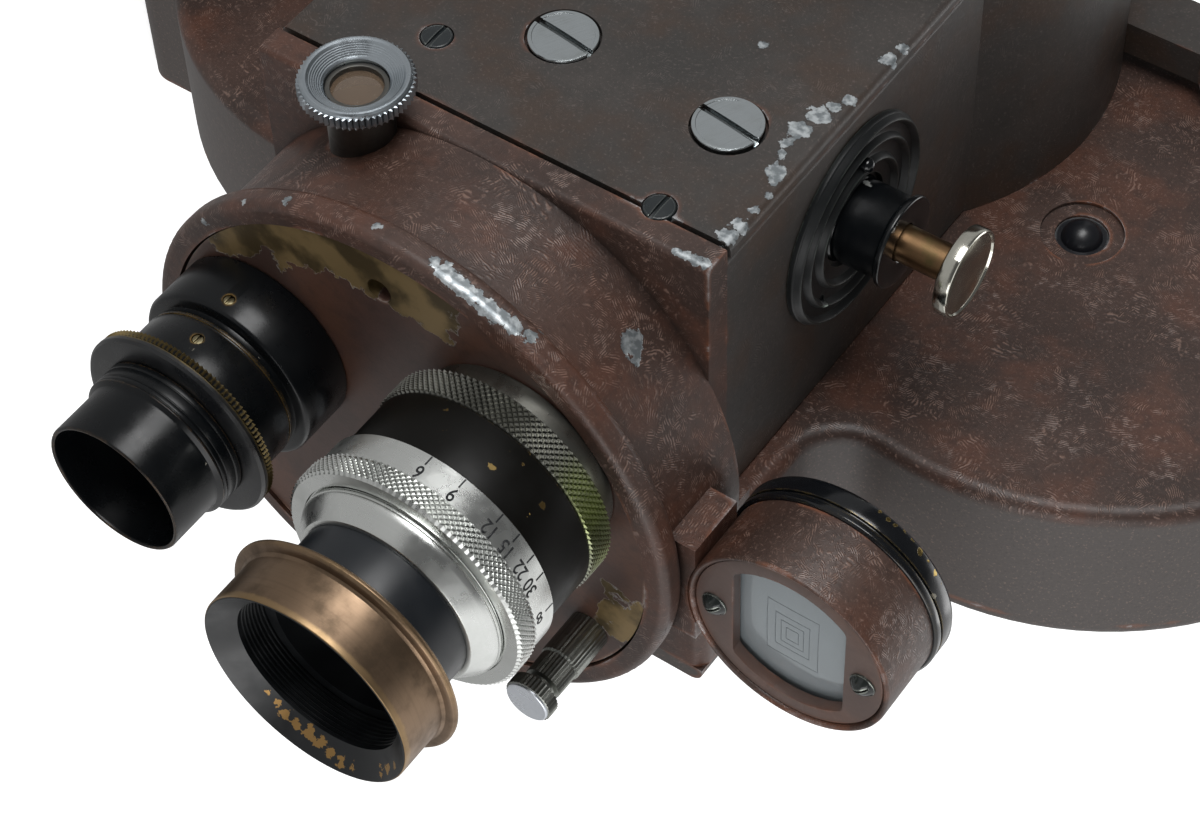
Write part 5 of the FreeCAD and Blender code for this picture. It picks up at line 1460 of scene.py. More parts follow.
    def hood_shell(self) -> Piece:
        """Bronze hood: a thin flange, a slightly swelling wall and a rolled front edge.

        Returns:
            The shell.
        """
        start = self.hood_start + 0.05
        wall_back = start + self.back_wall
        bore = self.tube_bore + 0.05
        profile = [
            (start, bore), (start, self.tube_r + 1.6), (self.hood_start + 0.35, self.flange_r - 0.5),
            (self.hood_start + 0.7, self.flange_r - 0.05), (self.flange_end - 0.4, self.flange_r),
            (self.flange_end - 0.05, self.flange_r - 0.3), (self.flange_end + 0.1, self.flange_r - 0.8),
            (self.flange_end + 0.15, self.hood_r + 0.35), (self.flange_end + 0.5, self.hood_r),
            (self.hood_end - 1.2, self.hood_r), (self.hood_end - 0.3, self.hood_r - 0.02),
            (self.hood_end - 0.1, self.hood_r - 0.08), (self.hood_end - 0.04, self.hood_mouth),
            (self.hood_end - 1.0, self.lining_r + 0.2), (wall_back, self.lining_r + 0.2), (wall_back, bore),
            (start, bore)]
        return smooth(bevelled(turned("lens_hood_shell", self.line, profile, 160), 0.05), 40)

    def hood_lining(self) -> Piece:
        """Black funnel of the hood's mouth and its ribbed bore.

        Returns:
            The lining.
        """
        seat = self.hood_start + self.back_wall + 0.1
        mouth = self.hood_end - self.mouth_depth
        spigot = self.tube_bore - 0.05
        back = self.hood_start - 3.0
        points = [(back, spigot - 0.7), (back, spigot), (seat, spigot), (seat, self.lining_r),
                  (self.hood_end - 1.15, self.lining_r), (self.hood_end - 0.03, self.hood_mouth - 0.02),
                  (self.hood_end, self.hood_mouth - 0.16), (mouth + 0.2, self.hood_bore + 0.25),
                  (mouth, self.hood_bore)]
        bottom = self.hood_bore + self.rib_depth
        for i in range(self.rib_count):
            near = mouth - 0.5 - i * self.rib_pitch
            points += [(near, self.hood_bore), (near - 0.16, bottom), (near - 0.34, bottom),
                       (near - 0.46, self.hood_bore)]
        points += [(seat + 0.8, self.hood_bore), (seat + 0.8, spigot - 0.7), (back, spigot - 0.7)]
        return smooth(turned("lens_hood_lining", self.line, points, 160), 40)

    def glass(self) -> Piece:
        """Domed front element.

        Returns:
            The glass.
        """
        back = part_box("bright_lens_glass")[1].y
        start = (self.line.origin.y - back) / MM
        edge = self.tube_bore - 0.1
        profile = [(start, edge), *dome(start + 1.6, 2.6, edge)]
        return smooth(turned("bright_lens_front_element", self.line, profile, 96, solid=True), 40)

    def build(self) -> None:
        """Model and dress the bright lens."""
        origin = millimetre_place(self.line.origin)
        x, y, z = origin
        # Knurled nickel silver, long tarnished: dull grey tips, grooves darkened with dirt and painted shade,
        # green verdigris.
        knurl = PatchedMetal(
            "worn_grey_knurl", "#8f8f88", 0.3, tarnish="#55554f", tarnish_share=0.6, edge_wear=0.0,
            origin=origin, dirt_and_shade="#0b0b0a", dirt_and_shade_reach=0.55,
            stained=(
                (x - 8.5, y - 7.0, z + 15.5, 7.5), (x - 3.0, y - 6.0, z + 17.5, 7.0),
                (x + 4.0, y - 5.0, z + 17.2, 5.5)))
        # Air-dried enamel on turned brass: nearly matt black with fine brass-coloured wear.
        black = GlossEnamel("worn_black_barrel_enamel", "#0b0a08", 0.4, bare="#6d5a36", hairline="#6b5c36",
                            edge_wear=0.8, flakes=0.7, flake="#7a6538", specular=0.14,
                            chips=((x - 14.7, y - 10.6, z + 9.0, 0.35), (x - 15.0, y - 8.6, z + 8.7, 0.25),
                                   (x - 17.0, y - 10.4, z - 3.2, 0.3), (x - 11.4, y - 12.5, z + 13.0, 0.3),
                                   (x - 11.7, y - 8.1, z + 12.8, 0.4)))
        # Nickel plating on turned brass: bright and cool, with a soft wide shine, and dirt with painted shade
        # in its grooves.
        satin = TurnedMetal("satin_nickel", "#dfe1de", 0.27, tarnish="#c6c9c5", tarnish_share=0.35,
                            origin=origin, dirt_and_shade_reach=0.45, dirt_and_shade_start=0.7)
        # Semi-matt enamel: a blurred, bluish highlight.
        tube = GlossEnamel(
            "satin_black_tube_enamel", "#12161b", 0.34, bare="#3c4248", edge_wear=0.6, flakes=0.3)
        # Turned bronze browned by hands: warm clouds, brighter along the edges.
        bronze = PatchedMetal(
            "browned_bronze", "#836e5a", 0.4, tarnish="#54473a", tarnish_share=0.8, blotch=6.0,
            under="#a58a64", edge_reach=0.9, edge_wear=0.6, origin=origin)
        worn = (
            (10.0, -8.8, 43.7, 0.3), (11.1, -7.4, 43.7, 0.45), (12.3, -5.9, 43.9, 0.6),
            (13.0, -4.0, 43.9, 0.5), (13.4, -2.1, 43.9, 0.75), (13.9, -0.4, 44.1, 0.8),
            (14.2, 1.4, 44.5, 0.7), (14.1, 3.5, 44.7, 0.75), (13.4, 5.6, 44.8, 0.45),
            (10.0, 10.5, 44.8, 0.45), (8.8, 11.6, 44.7, 0.6), (7.0, 12.8, 44.8, 0.5))
        # Blacked bronze: dull black, with bright bronze where caps have rubbed the mouth.
        lining = PatchedMetal("blacked_hood_lining", "#0d0f11", 0.36, tarnish="#191c1f", metallic=0.0,
                              under="#a88554", edge_reach=0.8, edge_wear=0.0, origin=origin,
                              spots=tuple((x + right, y - out, z + up, far) for right, up, out, far in worn))
        ring = self.focus_ring()
        # Wax in engraved figures: flat black without shine.
        engraving = GlossEnamel("black_engraving_fill", "#15171a", 0.5, edge_wear=0.0, flakes=0.0)
        dress(self.mount(), knurl, "turret", ["bright_lens_mount"])
        dress(self.barrel(), black, "turret", ["bright_lens_barrel"])
        dress(ring, satin, "bright_focus", ["bright_lens_focus_ring"])
        dress(self.scale_marks(ring), engraving, "bright_focus")
        dress(self.cone(), satin, "bright_front", ["bright_lens_cell"])
        dress(self.tube(), tube, "bright_front")
        dress(self.hood_shell(), bronze, "bright_front", ["lens_hood"])
        dress(self.hood_lining(), lining, "bright_front")
        dress(self.glass(), Glass("coated_lens_glass", "#dfe6f2", 0.01), "bright_front",
              ["bright_lens_glass"])


@dataclass
class Finder:
    """Drum-shaped finder on the saddle: crinkled barrel, screwed face, etched glass and black ring."""

    barrel_r: float = 15.7
    bore_r: float = 14.7
    length: float = 11.2
    ring_r: float = 16.3
    ring_w: float = 4.8
    ring_bore: float = 9.6
    face_in: float = 0.5
    face_thick: float = 1.8
    face_r: float = 14.6
    window_r: float = 12.3
    window_half: float = 8.7
    notches: int = 150
    notch_depth: float = 0.25
    glass_thick: float = 1.6
    glass_rise: float = 0.9
    screw_pitch: float = 11.6
    screw_r: float = 1.95
    screw_rise: float = 1.5
    screw_turn: float = 120.0
    shank_r: float = 0.9
    slot_w: float = 0.36
    slot_depth: float = 0.75
    frame_sizes: tuple[tuple[float, float], ...] = ((11.3, 8.1), (7.2, 5.4), (4.8, 3.6), (2.6, 2.0))
    frame_shift: tuple[float, float] = (0.9, -0.5)
    # Etched lines are about 0.05 mm wide, and are drawn a little wider so that they show.
    etched_w: float = 0.08

    def __post_init__(self) -> None:
        """Find the finder's centre line in the frame."""
        self.line = Line.through("finder_barrel", Axis.FRONT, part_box("finder_barrel")[0].y)

    def barrel(self) -> Piece:
        """Barrel with a rolled front edge.

        Returns:
            The barrel.
        """
        profile = [(-self.length, self.bore_r), (-self.length, self.barrel_r), (-0.5, self.barrel_r),
                   (-0.15, self.barrel_r - 0.08), (-0.02, self.barrel_r - 0.22), (0.0, self.barrel_r - 0.4),
                   (-0.05, self.bore_r + 0.45), (-0.45, self.bore_r), (-self.length, self.bore_r)]
        sides = 2 * self.notches
        piece = turned("finder_barrel_turned", self.line, profile, sides)

        def in_notch(out: float, far: float, angle: float) -> bool:
            """Whether a vertex of the lip's inner bevel is in one of its fine notches."""
            return -0.6 < out < -0.3 and far < self.bore_r + 0.1 and round(angle * sides / FULL_TURN) % 2 == 1

        press(piece, self.line, self.bore_r, -self.notch_depth, in_notch)
        return smooth(piece, 40)

    def face(self) -> Piece:
        """Face plate with a barrel-shaped window.

        Returns:
            The face.
        """
        front, back = -self.face_in, -self.face_in - self.face_thick
        profile = [(back, self.face_r), (front, self.face_r)]
        piece = turned("finder_face_plate", self.line, profile, 160, solid=True)
        cutter = turned(
            "window_cutter", self.line, [(back - 1, self.window_r), (front + 1, self.window_r)], 128, True)
        for side in (1, -1):
            edge = self.line.origin + Vector((0, 0, side * self.window_half * MM))
            pick(cutter, lambda place: True)
            bpy.ops.mesh.bisect(plane_co=edge, plane_no=(0, 0, side), use_fill=True, clear_outer=True)
            leave_edit()
        modified(cutter, "BEVEL", width=0.9 * MM, segments=5, limit_method="ANGLE", affect="EDGES",
                 angle_limit=math.radians(25), use_clamp_overlap=True)
        return smooth(bevelled(cut(piece, cutter), 0.18, 3), 40)

    def glass(self) -> Piece:
        """Front glass behind the window, bulging a little.

        Returns:
            The glass.
        """
        start = -self.face_in - self.face_thick - self.glass_thick
        edge = self.bore_r - 0.1
        rim = start + self.glass_thick - self.glass_rise
        profile = [(start, edge), (rim, edge), *dome(rim, self.glass_rise, edge)]
        return smooth(turned("finder_front_glass", self.line, profile, 128, solid=True), 40)

    def etched_frames(self, glass: Piece) -> Piece:
        """Nested frame lines on the glass, one for each lens, shrunk on to its front.

        Args:
            glass: glass that carries the lines.

        Returns:
            The lines, in one piece.
        """
        centre = self.line.at(0.6) + Vector((self.frame_shift[0] * MM, 0, self.frame_shift[1] * MM))
        parts = []
        for width, height in self.frame_sizes:
            deselect()
            bpy.ops.mesh.primitive_plane_add(size=1.0, location=centre, rotation=Axis.FRONT.turn)
            piece = bpy.context.active_object
            piece.scale = (width * MM, height * MM, 1.0)
            bpy.ops.object.transform_apply(location=True, rotation=True, scale=True)
            pick(piece, lambda place: True)
            bpy.ops.mesh.inset(thickness=self.etched_w * MM)
            bpy.ops.mesh.delete(type="FACE")
            bpy.ops.mesh.select_all(action="SELECT")
            bpy.ops.mesh.subdivide(number_cuts=3)
            leave_edit()
            parts.append(piece)
        piece = joined("finder_etched_frames", parts)
        modified(piece, "SHRINKWRAP", target=glass, wrap_method="PROJECT", use_negative_direction=True,
                 use_positive_direction=True, offset=0.01 * MM)
        return modified(piece, "SOLIDIFY", thickness=0.02 * MM, offset=0.0)

    def mirror(self) -> Piece:
        """Pale plate behind the glass: a painted reflection that makes the window show grey.

        Returns:
            The plate.
        """
        start = -self.length + 0.3
        profile = [(start, self.bore_r - 0.1), (start + 0.8, self.bore_r - 0.1), (start + 0.8, 0.4)]
        return smooth(turned("finder_window_light_plate", self.line, profile, 96, solid=True), 30)

    def ring(self) -> Piece:
        """Black ring behind the barrel, with a groove near its front.

        Returns:
            The ring.
        """
        front = -self.length
        back = front - self.ring_w
        profile = [
            (back, self.ring_bore), (back, self.ring_r - 0.8), (back + 0.3, self.ring_r - 0.3),
            (back + 0.9, self.ring_r), (front - 1.6, self.ring_r), (front - 1.55, self.ring_r - 0.45),
            (front - 1.2, self.ring_r - 0.45), (front - 1.15, self.ring_r), (front - 0.3, self.ring_r),
            (front, self.ring_r - 0.3), (front, self.ring_bore), (back, self.ring_bore)]
        return smooth(bevelled(turned("finder_ring_turned", self.line, profile, 160), 0.08), 40)

    def screws(self) -> list[Piece]:
        """Two domed slotted screws in the face.

        Returns:
            The two screws.
        """
        made = []
        for side in (1, -1):
            origin = self.line.at(-self.face_in) + Vector((0, 0, side * self.screw_pitch * MM))
            line = Line(origin, Axis.FRONT)
            profile = [(-0.6, self.shank_r), (0.0, self.shank_r), (0.0, self.screw_r), (0.25, self.screw_r),
                       *dome(0.25, self.screw_rise - 0.25, self.screw_r * 0.98)]
            head = turned("finder_screw", line, profile, 48, solid=True)
            slotted(
                head, line, self.screw_rise, self.slot_depth, self.slot_w, 5 * self.screw_r,
                self.screw_turn)
            made.append(smooth(bevelled(head, 0.05, 1, 40), 40))
        return made

    def build(self) -> None:
        """Model and dress the finder."""
        origin = millimetre_place(self.line.origin)
        x, y, z = origin
        # Stoved enamel with a finer crinkle: speckled highlights all over the barrel.
        walnut = CrinkleEnamel(
            "finder_crinkle_enamel", "#46332b", 0.38, patch=1.6, ridge_pitch=0.29, flecks=0.25,
            edge_reach=0.8, edge_wear=0.7)
        # The same enamel rubbed flat: an even satin brown.
        face = CrinkleEnamel(
            "finder_face_enamel", "#5e4c45", 0.34, shade="#4f3f3a", warm="#644a3f", ridge_share=0.1,
            ridge_height=0.01, peel_height=0.012, flecks=0.05, edge_reach=0.7, edge_wear=0.5)
        dress(self.barrel(), walnut, "body", ["finder_barrel"])
        dress(self.face(), face, "body", ["finder_face"])
        glass = self.glass()
        # Dark filling in etched lines: thin, flat grey.
        filling = GlossEnamel("etched_line_fill", "#565d61", 0.5, edge_wear=0.0, flakes=0.0)
        dress(self.etched_frames(glass), filling, "body")
        # Pressed and polished glass, a little milky: it shows grey.
        window = Glass("finder_glass", "#c3ccd0", 0.02, clearness=0.55)
        dress(glass, window, "body", ["finder_glasses"])
        # Painted reflection: a pale, even grey plate behind the window.
        window_light = TurnedMetal("painted_window_light", "#8e979b", 0.35, tarnish="#7b858a", metallic=0.0, origin=origin)
        dress(self.mirror(), window_light, "body")
        # Stoved enamel on turned brass: glossy black, yellow metal in its chips.
        black = GlossEnamel("chipped_black_ring_enamel", "#0b0d10", 0.18, bare="#9a8550", edge_wear=0.75,
                            flakes=1.0,
                            chips=((x - 15.7, y + 15.3, z + 4.2, 0.3), (x - 15.3, y + 15.2, z + 5.7, 0.35),
                                   (x - 14.8, y + 15.3, z + 6.9, 0.25), (x - 14.1, y + 15.4, z + 8.2, 0.4),
                                   (x - 13.3, y + 15.3, z + 9.4, 0.35), (x - 12.3, y + 15.0, z + 10.7, 0.45),
                                   (x - 11.0, y + 15.1, z + 12.0, 0.4), (x - 9.5, y + 14.9, z + 13.2, 0.35),
                                   (x - 7.9, y + 15.0, z + 14.2, 0.3)))
        dress(self.ring(), black, "body", ["finder_ring"])
        # Blacked and polished steel: small, sharp highlights.
        domed = GlossEnamel("polished_black_screw", "#202423", 0.16, bare="#8b8f88", edge_wear=0.8,
                            edge_reach=0.4)
        dress(joined("finder_screw_heads", self.screws()), domed, "body")


@dataclass
class Focuser:
    """Eyepiece focuser on the side of the front casting."""

    ring_r: float = 7.95
    ring_w: float = 2.6
    eye_r: float = 4.4
    teeth: int = 58
    dish_steps: int = 6
    collar_in: float = 2.4
    tube_r: float = 4.6

    def __post_init__(self) -> None:
        """Find the focuser's centre line in the frame."""
        self.line = Line.through("focuser_ring", Axis.RIGHT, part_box("focuser_ring")[1].x)

    def ring(self) -> Piece:
        """Milled ring with a rolled lip, dished towards the eye in fine steps.

        Returns:
            The ring.
        """
        lip = self.ring_w
        profile = [
            (0.0, self.tube_r + 0.3), (0.0, self.ring_r - 0.6), (0.3, self.ring_r),
            (lip - 0.7, self.ring_r), (lip - 0.62, self.ring_r - 0.45), (lip - 0.3, self.ring_r - 0.5),
            (lip - 0.05, self.ring_r - 0.75), (lip, self.ring_r - 1.0), (lip - 0.08, self.ring_r - 1.35),
            (lip - 0.3, self.ring_r - 1.6)]
        for i in range(self.dish_steps):
            share = i / self.dish_steps
            out = lip - 0.4 - 1.0 * share
            far = self.ring_r - 1.7 - (self.ring_r - 1.7 - self.eye_r - 0.2) * share
            profile += [(out, far), (out - 0.03, far - 0.14)]
        profile += [(lip - 1.45, self.eye_r + 0.1), (lip - 1.55, self.eye_r), (0.0, self.eye_r),
                    (0.0, self.tube_r + 0.3)]
        sides = 2 * self.teeth
        piece = turned("focuser_ring_milled", self.line, profile, sides)
        straight_knurl(piece, self.line, (0.2, lip - 0.69), self.ring_r, 0.55, sides)
        return smooth(piece, 24)

    def tube(self) -> Piece:
        """Tube between the ring and the casting.

        Returns:
            The tube.
        """
        inner = (self.line.origin.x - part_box("focuser_tube")[1].x) / MM
        collar = -self.collar_in
        profile = [(inner, self.tube_r - 1.0), (inner, self.tube_r), (collar, self.tube_r),
                   (collar + 0.3, self.tube_r + 0.5), (-0.6, self.tube_r + 0.5), (-0.3, self.tube_r),
                   (0.6, self.tube_r - 0.3), (0.6, self.tube_r - 1.0), (inner, self.tube_r - 1.0)]
        return smooth(bevelled(turned("focuser_tube_turned", self.line, profile, 96), 0.08))

    def eye(self) -> Piece:
        """Brown-looking eye lens at the bottom of the dish.

        Returns:
            The eye lens.
        """
        out = self.ring_w - 2.9
        profile = [(out - 1.0, self.eye_r - 0.6), (out, self.eye_r - 0.6), *dome(out, 0.5, self.eye_r - 0.62)]
        return smooth(turned("focuser_eye_lens", self.line, profile, 64, solid=True), 40)

    def build(self) -> None:
        """Model and dress the focuser."""
        origin = millimetre_place(self.line.origin)
        # Milled steel: cool and bright with a soft shine, with dirt and painted shade between its teeth.
        steel = TurnedMetal("satin_steel_ring", "#b4bcc2", 0.28, tarnish="#7f888d", tarnish_share=0.5,
                            origin=origin, along=ACROSS, dirt_and_shade_reach=0.4)
        # Turned steel gone dull: dark, with little shine.
        dull = TurnedMetal("dull_dark_steel", "#6b6a66", 0.4, tarnish="#3d3b38", origin=origin, along=ACROSS)
        dress(self.ring(), steel, "focuser", ["focuser_ring"])
        dress(self.tube(), dull, "body", ["focuser_tube"])
        # Polished smoked glass: warm brown.
        smoked = Glass("smoked_eye_glass", "#6b5a4a", 0.03, clearness=0.35)
        dress(self.eye(), smoked, "body", ["focuser_optics"])


@dataclass
class SpeedDial:
    """Ridged speed dial on the top wall, with the start button that stands in its middle."""

    dial_r: float = 16.0
    base_h: float = 0.9
    ridge_h: float = 0.95
    ridges: tuple[float, ...] = (15.2, 12.6, 9.6)
    ridge_w: float = 1.25
    hole_r: float = 7.1
    ball_r: float = 1.1
    ball_circle: float = 10.4
    ball_angle: float = 174.5
    mark_r: float = 0.9
    mark_circle: float = 12.2
    mark_angle: float = -44.0
    sleeve_r: float = 6.2
    sleeve_h: float = 8.8
    flange_r: float = 6.9
    flange_h: float = 0.9
    rod_r: float = 2.7
    head_r: float = 6.6
    dish_depth: float = 1.0

    def __post_init__(self) -> None:
        """Find the dial's centre line in the frame."""
        self.line = Line.through("speed_dial", Axis.UP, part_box("speed_dial")[0].z)
        self.button = Line.through("button_head", Axis.UP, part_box("button_sleeve")[0].z)

    def dial(self) -> Piece:
        """Flat dial with three raised ridges.

        Returns:
            The dial.
        """
        top = self.base_h
        profile = [
            (0.0, self.hole_r), (0.0, self.dial_r), (top - 0.2, self.dial_r), (top, self.dial_r - 0.15)]
        for centre in self.ridges:
            half = self.ridge_w / 2
            outer = min(centre + half, self.dial_r - 0.1)
            profile += [
                (top, outer), (top + self.ridge_h * 0.7, outer - 0.28), (top + self.ridge_h, outer - 0.55),
                (top + self.ridge_h, centre - half + 0.55),
                (top + self.ridge_h * 0.7, centre - half + 0.28), (top, centre - half)]
        profile += [(top, self.hole_r), (0.0, self.hole_r)]
        piece = turned("speed_dial_ridged", self.line, profile, 160)
        mark = Line(self.line.spot(0.0, self.mark_circle, self.mark_angle), Axis.UP)
        hole = turned("mark_cutter", mark, [(top - 0.3, self.mark_r), (3.0, self.mark_r)], 32, solid=True)
        return smooth(bevelled(cut(piece, hole), 0.06), 30)

    def ball(self) -> Piece:
        """Small polished stop ball on the dial.

        Returns:
            The ball.
        """
        line = Line(self.line.spot(self.base_h - 0.1, self.ball_circle, self.ball_angle), Axis.UP)
        points = []
        lowest, turn_step = -50, 17.2
        for i in range(9):
            angle = math.radians(lowest + turn_step * i)
            points.append((self.ball_r * (0.75 + math.sin(angle)), max(self.ball_r * math.cos(angle), 0.05)))
        return smooth(turned("speed_dial_stop", line, points, 32, solid=True), 50)

    def sleeve(self) -> Piece:
        """Black sleeve with a thin flange at its top.

        Returns:
            The sleeve.
        """
        height = self.sleeve_h
        bore = self.rod_r + 0.05
        profile = [
            (0.0, bore), (0.0, self.sleeve_r + 0.35), (0.5, self.sleeve_r + 0.3), (0.8, self.sleeve_r),
            (height - self.flange_h - 0.4, self.sleeve_r), (height - self.flange_h, self.sleeve_r + 0.3),
            (height - self.flange_h + 0.1, self.flange_r), (height - 0.15, self.flange_r),
            (height, self.flange_r - 0.2), (height, bore + 0.4), (height - 0.3, bore), (0.0, bore)]
        return smooth(bevelled(turned("button_sleeve_turned", self.button, profile, 96), 0.08), 30)

    def rod(self) -> Piece:
        """Brass rod of the start button.

        Returns:
            The rod.
        """
        low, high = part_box("button_rod")
        start = (low.z - self.button.origin.z) / MM
        end = (high.z - self.button.origin.z) / MM
        profile = [(start, self.rod_r - 0.3), (start + 0.3, self.rod_r), (end, self.rod_r)]
        return smooth(turned("button_rod_turned", self.button, profile, 64, solid=True), 40)

    def head(self) -> Piece:
        """Dished nickel head with a thin bright lip.

        Returns:
            The head.
        """
        base, top = [(corner.z - self.button.origin.z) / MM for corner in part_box("button_head")]
        lip = self.head_r - 0.1
        profile = [
            (base, self.rod_r + 0.6), (base + 0.25, self.head_r - 1.7), (base + 0.8, self.head_r - 0.75),
            (base + 0.95, self.head_r - 0.05), (base + 1.2, self.head_r), (top - 0.35, self.head_r),
            (top - 0.08, lip), (top, lip - 0.15), (top - 0.05, lip - 0.35), (top - 0.35, lip - 0.5)]
        count = 8
        for i in range(1, count + 1):
            far = (lip - 0.5) * (1 - i / count) + 0.2 * i / count
            depth = self.dish_depth * (1 - (far / (lip - 0.5)) ** 2)
            profile.append((top - 0.35 - depth, far))
        return smooth(turned("button_head_dished", self.button, profile, 96, solid=True), 26)

    def build(self) -> None:
        """Model and dress the dial and the button."""
        origin = millimetre_place(self.line.origin)
        up = (0.0, 0.0, 1.0)
        # Enamel on turned aluminium, dulled by thumbs: satin black with greyish ridge tops.
        black = GlossEnamel(
            "worn_black_dial_enamel", "#111314", 0.38, bare="#6b736c", edge_wear=0.75, edge_reach=0.5,
            flakes=0.5, specular=0.35)
        # Stoved enamel on turned aluminium: glossy, with grey nicks.
        sleeve = GlossEnamel("chipped_black_sleeve_enamel", "#0a0c0e", 0.16, bare="#7d817e", edge_wear=0.7,
                             edge_reach=0.5, flakes=0.9, flake="#9a9c98")
        # Drawn brass rod, tarnished: brown with greenish clouds.
        brass = TurnedMetal(
            "tarnished_brass", "#86694c", 0.34, tarnish="#5d5838", tarnish_share=0.9, blotch=3.4,
            origin=origin, along=up)
        # Nickel plating, polished by fingers: warm white and mirror-like.
        nickel = TurnedMetal(
            "polished_nickel", "#cfcdc2", 0.14, tarnish="#8f8d80", tarnish_share=0.4, origin=origin,
            along=up)
        dress(self.dial(), black, "dial", ["speed_dial"])
        dress(self.ball(), sleeve, "dial")
        dress(self.sleeve(), sleeve, "body", ["button_sleeve"])
        dress(self.rod(), brass, "start_button", ["button_rod"])
        dress(self.head(), nickel, "start_button", ["button_head"])


@dataclass
class TurretHandle:
    """Handle that turns the turret: ribbed rod, knurled cap and pale flat face."""

    root_r: float = 3.1
    rod_r: float = 2.6
    step: float = 7.0
    cap_from: float = 12.3
    cap_r: float = 3.7
    length: float = 14.9
    ribs: int = 32
    cap_ribs: int = 36

    def __post_init__(self) -> None:
        """Find the handle's centre line in the frame."""
        self.line = Line.through("turret_handle", Axis.FRONT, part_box("turret_disc")[0].y)

    def rod(self) -> Piece:
        """Ribbed rod.

        Returns:
            The rod.
        """
        profile = [
            (-3.7, self.rod_r - 0.2), (0.0, self.rod_r - 0.2), (0.05, self.root_r),
            (self.step, self.root_r), (self.step + 0.3, self.root_r - 0.25),
            (self.cap_from - 1.2, self.root_r - 0.3), (self.cap_from - 0.9, self.rod_r - 0.4),
            (self.cap_from + 0.2, self.rod_r - 0.4)]
        sides = 2 * self.ribs
        piece = turned("turret_handle_rod", self.line, profile, sides, solid=True)
        straight_knurl(piece, self.line, (0.2, self.cap_from - 1.0), self.root_r - 0.26, 0.16, sides)
        return smooth(piece, 24)

    def cap(self) -> Piece:
        """Knurled cap.

        Returns:
            The cap.
        """
        face = self.length - 0.35
        profile = [
            (self.cap_from, self.cap_r - 0.5), (self.cap_from + 0.25, self.cap_r), (face - 0.1, self.cap_r),
            (face, self.cap_r - 0.25)]
        sides = 2 * self.cap_ribs
        piece = turned("turret_handle_cap", self.line, profile, sides, solid=True)
        straight_knurl(piece, self.line, (self.cap_from + 0.2, face - 0.05), self.cap_r, 0.2, sides)
        return smooth(piece, 24)

    def face(self) -> Piece:
        """Pale flat face, slightly proud of the cap.

        Returns:
            The face.
        """
        start = self.length - 0.4
        profile = [(start, self.cap_r - 0.3), (self.length - 0.1, self.cap_r - 0.35),
                   (self.length, self.cap_r - 0.5), (self.length, 0.5)]
        return smooth(turned("turret_handle_face", self.line, profile, 64, solid=True), 30)

    def build(self) -> None:
        """Model and dress the handle."""
        origin = millimetre_place(self.line.origin)
        # Nickel plating gone grey on a knurled rod: dull, its grooves darkened with dirt and painted shade.
        dark = TurnedMetal("oxidised_nickel_knurl", "#8f918c", 0.34, tarnish="#54564f", tarnish_share=0.7,
                           origin=origin, dirt_and_shade_reach=0.4)
        # Faced aluminium: pale, cool and evenly satin.
        pale = TurnedMetal(
            "milled_aluminium_face", "#d8dce2", 0.3, tarnish="#b9bec6", origin=origin, metallic=0.7)
        dress(self.rod(), dark, "turret", ["turret_handle"])
        dress(self.cap(), dark, "turret")
        dress(self.face(), pale, "turret")


@dataclass
class Screws:
    """Slotted screws of the mechanism cover and the casting's side."""

    cover_hole_r: float = 5.3
    cover_r: float = 4.95
    cover_proud: float = 0.5
    sunk: float = 1.6
    cover_slot: tuple[float, float] = (1.05, 1.0)
    cover_turn: float = 98.0
    small_r: float = 2.25
    small_proud: float = 0.2
    small_slot: tuple[float, float] = (0.6, 0.5)
    small_turn: float = 179.0
    small_places: tuple[tuple[float, float], ...] = ((1.4, 25.2), (10.6, -17.6))
    seam_in: float = 0.8
    cover_centre_drop: float = 36.6

    def head(self, name: str, centre: Vector, radius: float, proud: float, slot: tuple[float, float],
             degrees: float, sides: int = 96) -> Piece:
        """Round slotted head sunk in the right side, a little proud of it.

        Args:
            name: piece name.
            centre: middle of the head in the side's plane.
            radius: head radius.
            proud: how far the head stands out.
            slot: width and depth of the slot.
            degrees: angle of the slot.
            sides: faces round the head.

        Returns:
            The head.
        """
        line = Line(centre, Axis.RIGHT)
        rim = 0.12 * radius
        profile = [
            (-self.sunk, radius), (proud - 0.3, radius), (proud - 0.12, radius - 0.1),
            (proud - 0.06, radius - rim), *dome(proud - 0.14, 0.14, radius - rim - 0.06, 0.4, 6)]
        piece = turned(name, line, profile, sides, solid=True)
        slotted(piece, line, proud, slot[1], slot[0], 3 * radius, degrees)
        return smooth(bevelled(piece, 0.07, 2, 40), 40)

    def build(self) -> None:
        """Model and dress the screws of the right side."""
        side_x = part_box("mechanism_cover")[0].x
        low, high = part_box("cover_screws")
        inset = self.cover_hole_r * MM
        places = [
            Vector((side_x, low.y + inset, high.z - inset)),
            Vector((side_x, high.y - inset, low.z + inset))]
        heads = [
            self.head(
                "cover_screw", place, self.cover_r, self.cover_proud, self.cover_slot, self.cover_turn)
            for place in places]
        # Chromed steel, turned and slotted: mirror-like, with brown dirt and painted shade in the slots.
        chrome = TurnedMetal(
            "worn_chromed_screw", "#c3cacd", 0.16, tarnish="#8a8c86", tarnish_share=0.25, blotch=6.0,
            along=ACROSS, dirt_and_shade_reach=1.1, dirt_and_shade="#3b3423")
        dress(joined("cover_screw_heads", heads), chrome, "body", ["cover_screws"])
        seam_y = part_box("mechanism_cover")[0].y - self.seam_in * MM
        middle_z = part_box("mechanism_cover")[1].z - self.cover_centre_drop * MM
        small = [
            self.head(
                "side_screw", Vector((side_x, seam_y + behind * MM, middle_z + height * MM)), self.small_r,
                self.small_proud, self.small_slot, self.small_turn, 48) for behind,
            height in self.small_places]
        # Blued steel: dark and smooth, bright along worn slot edges.
        dark = GlossEnamel(
            "blued_screw_steel", "#1b2022", 0.28, bare="#777b78", edge_wear=0.7, edge_reach=0.4)
        dress(joined("side_screw_heads", small), dark, "body", ["small_screws"])


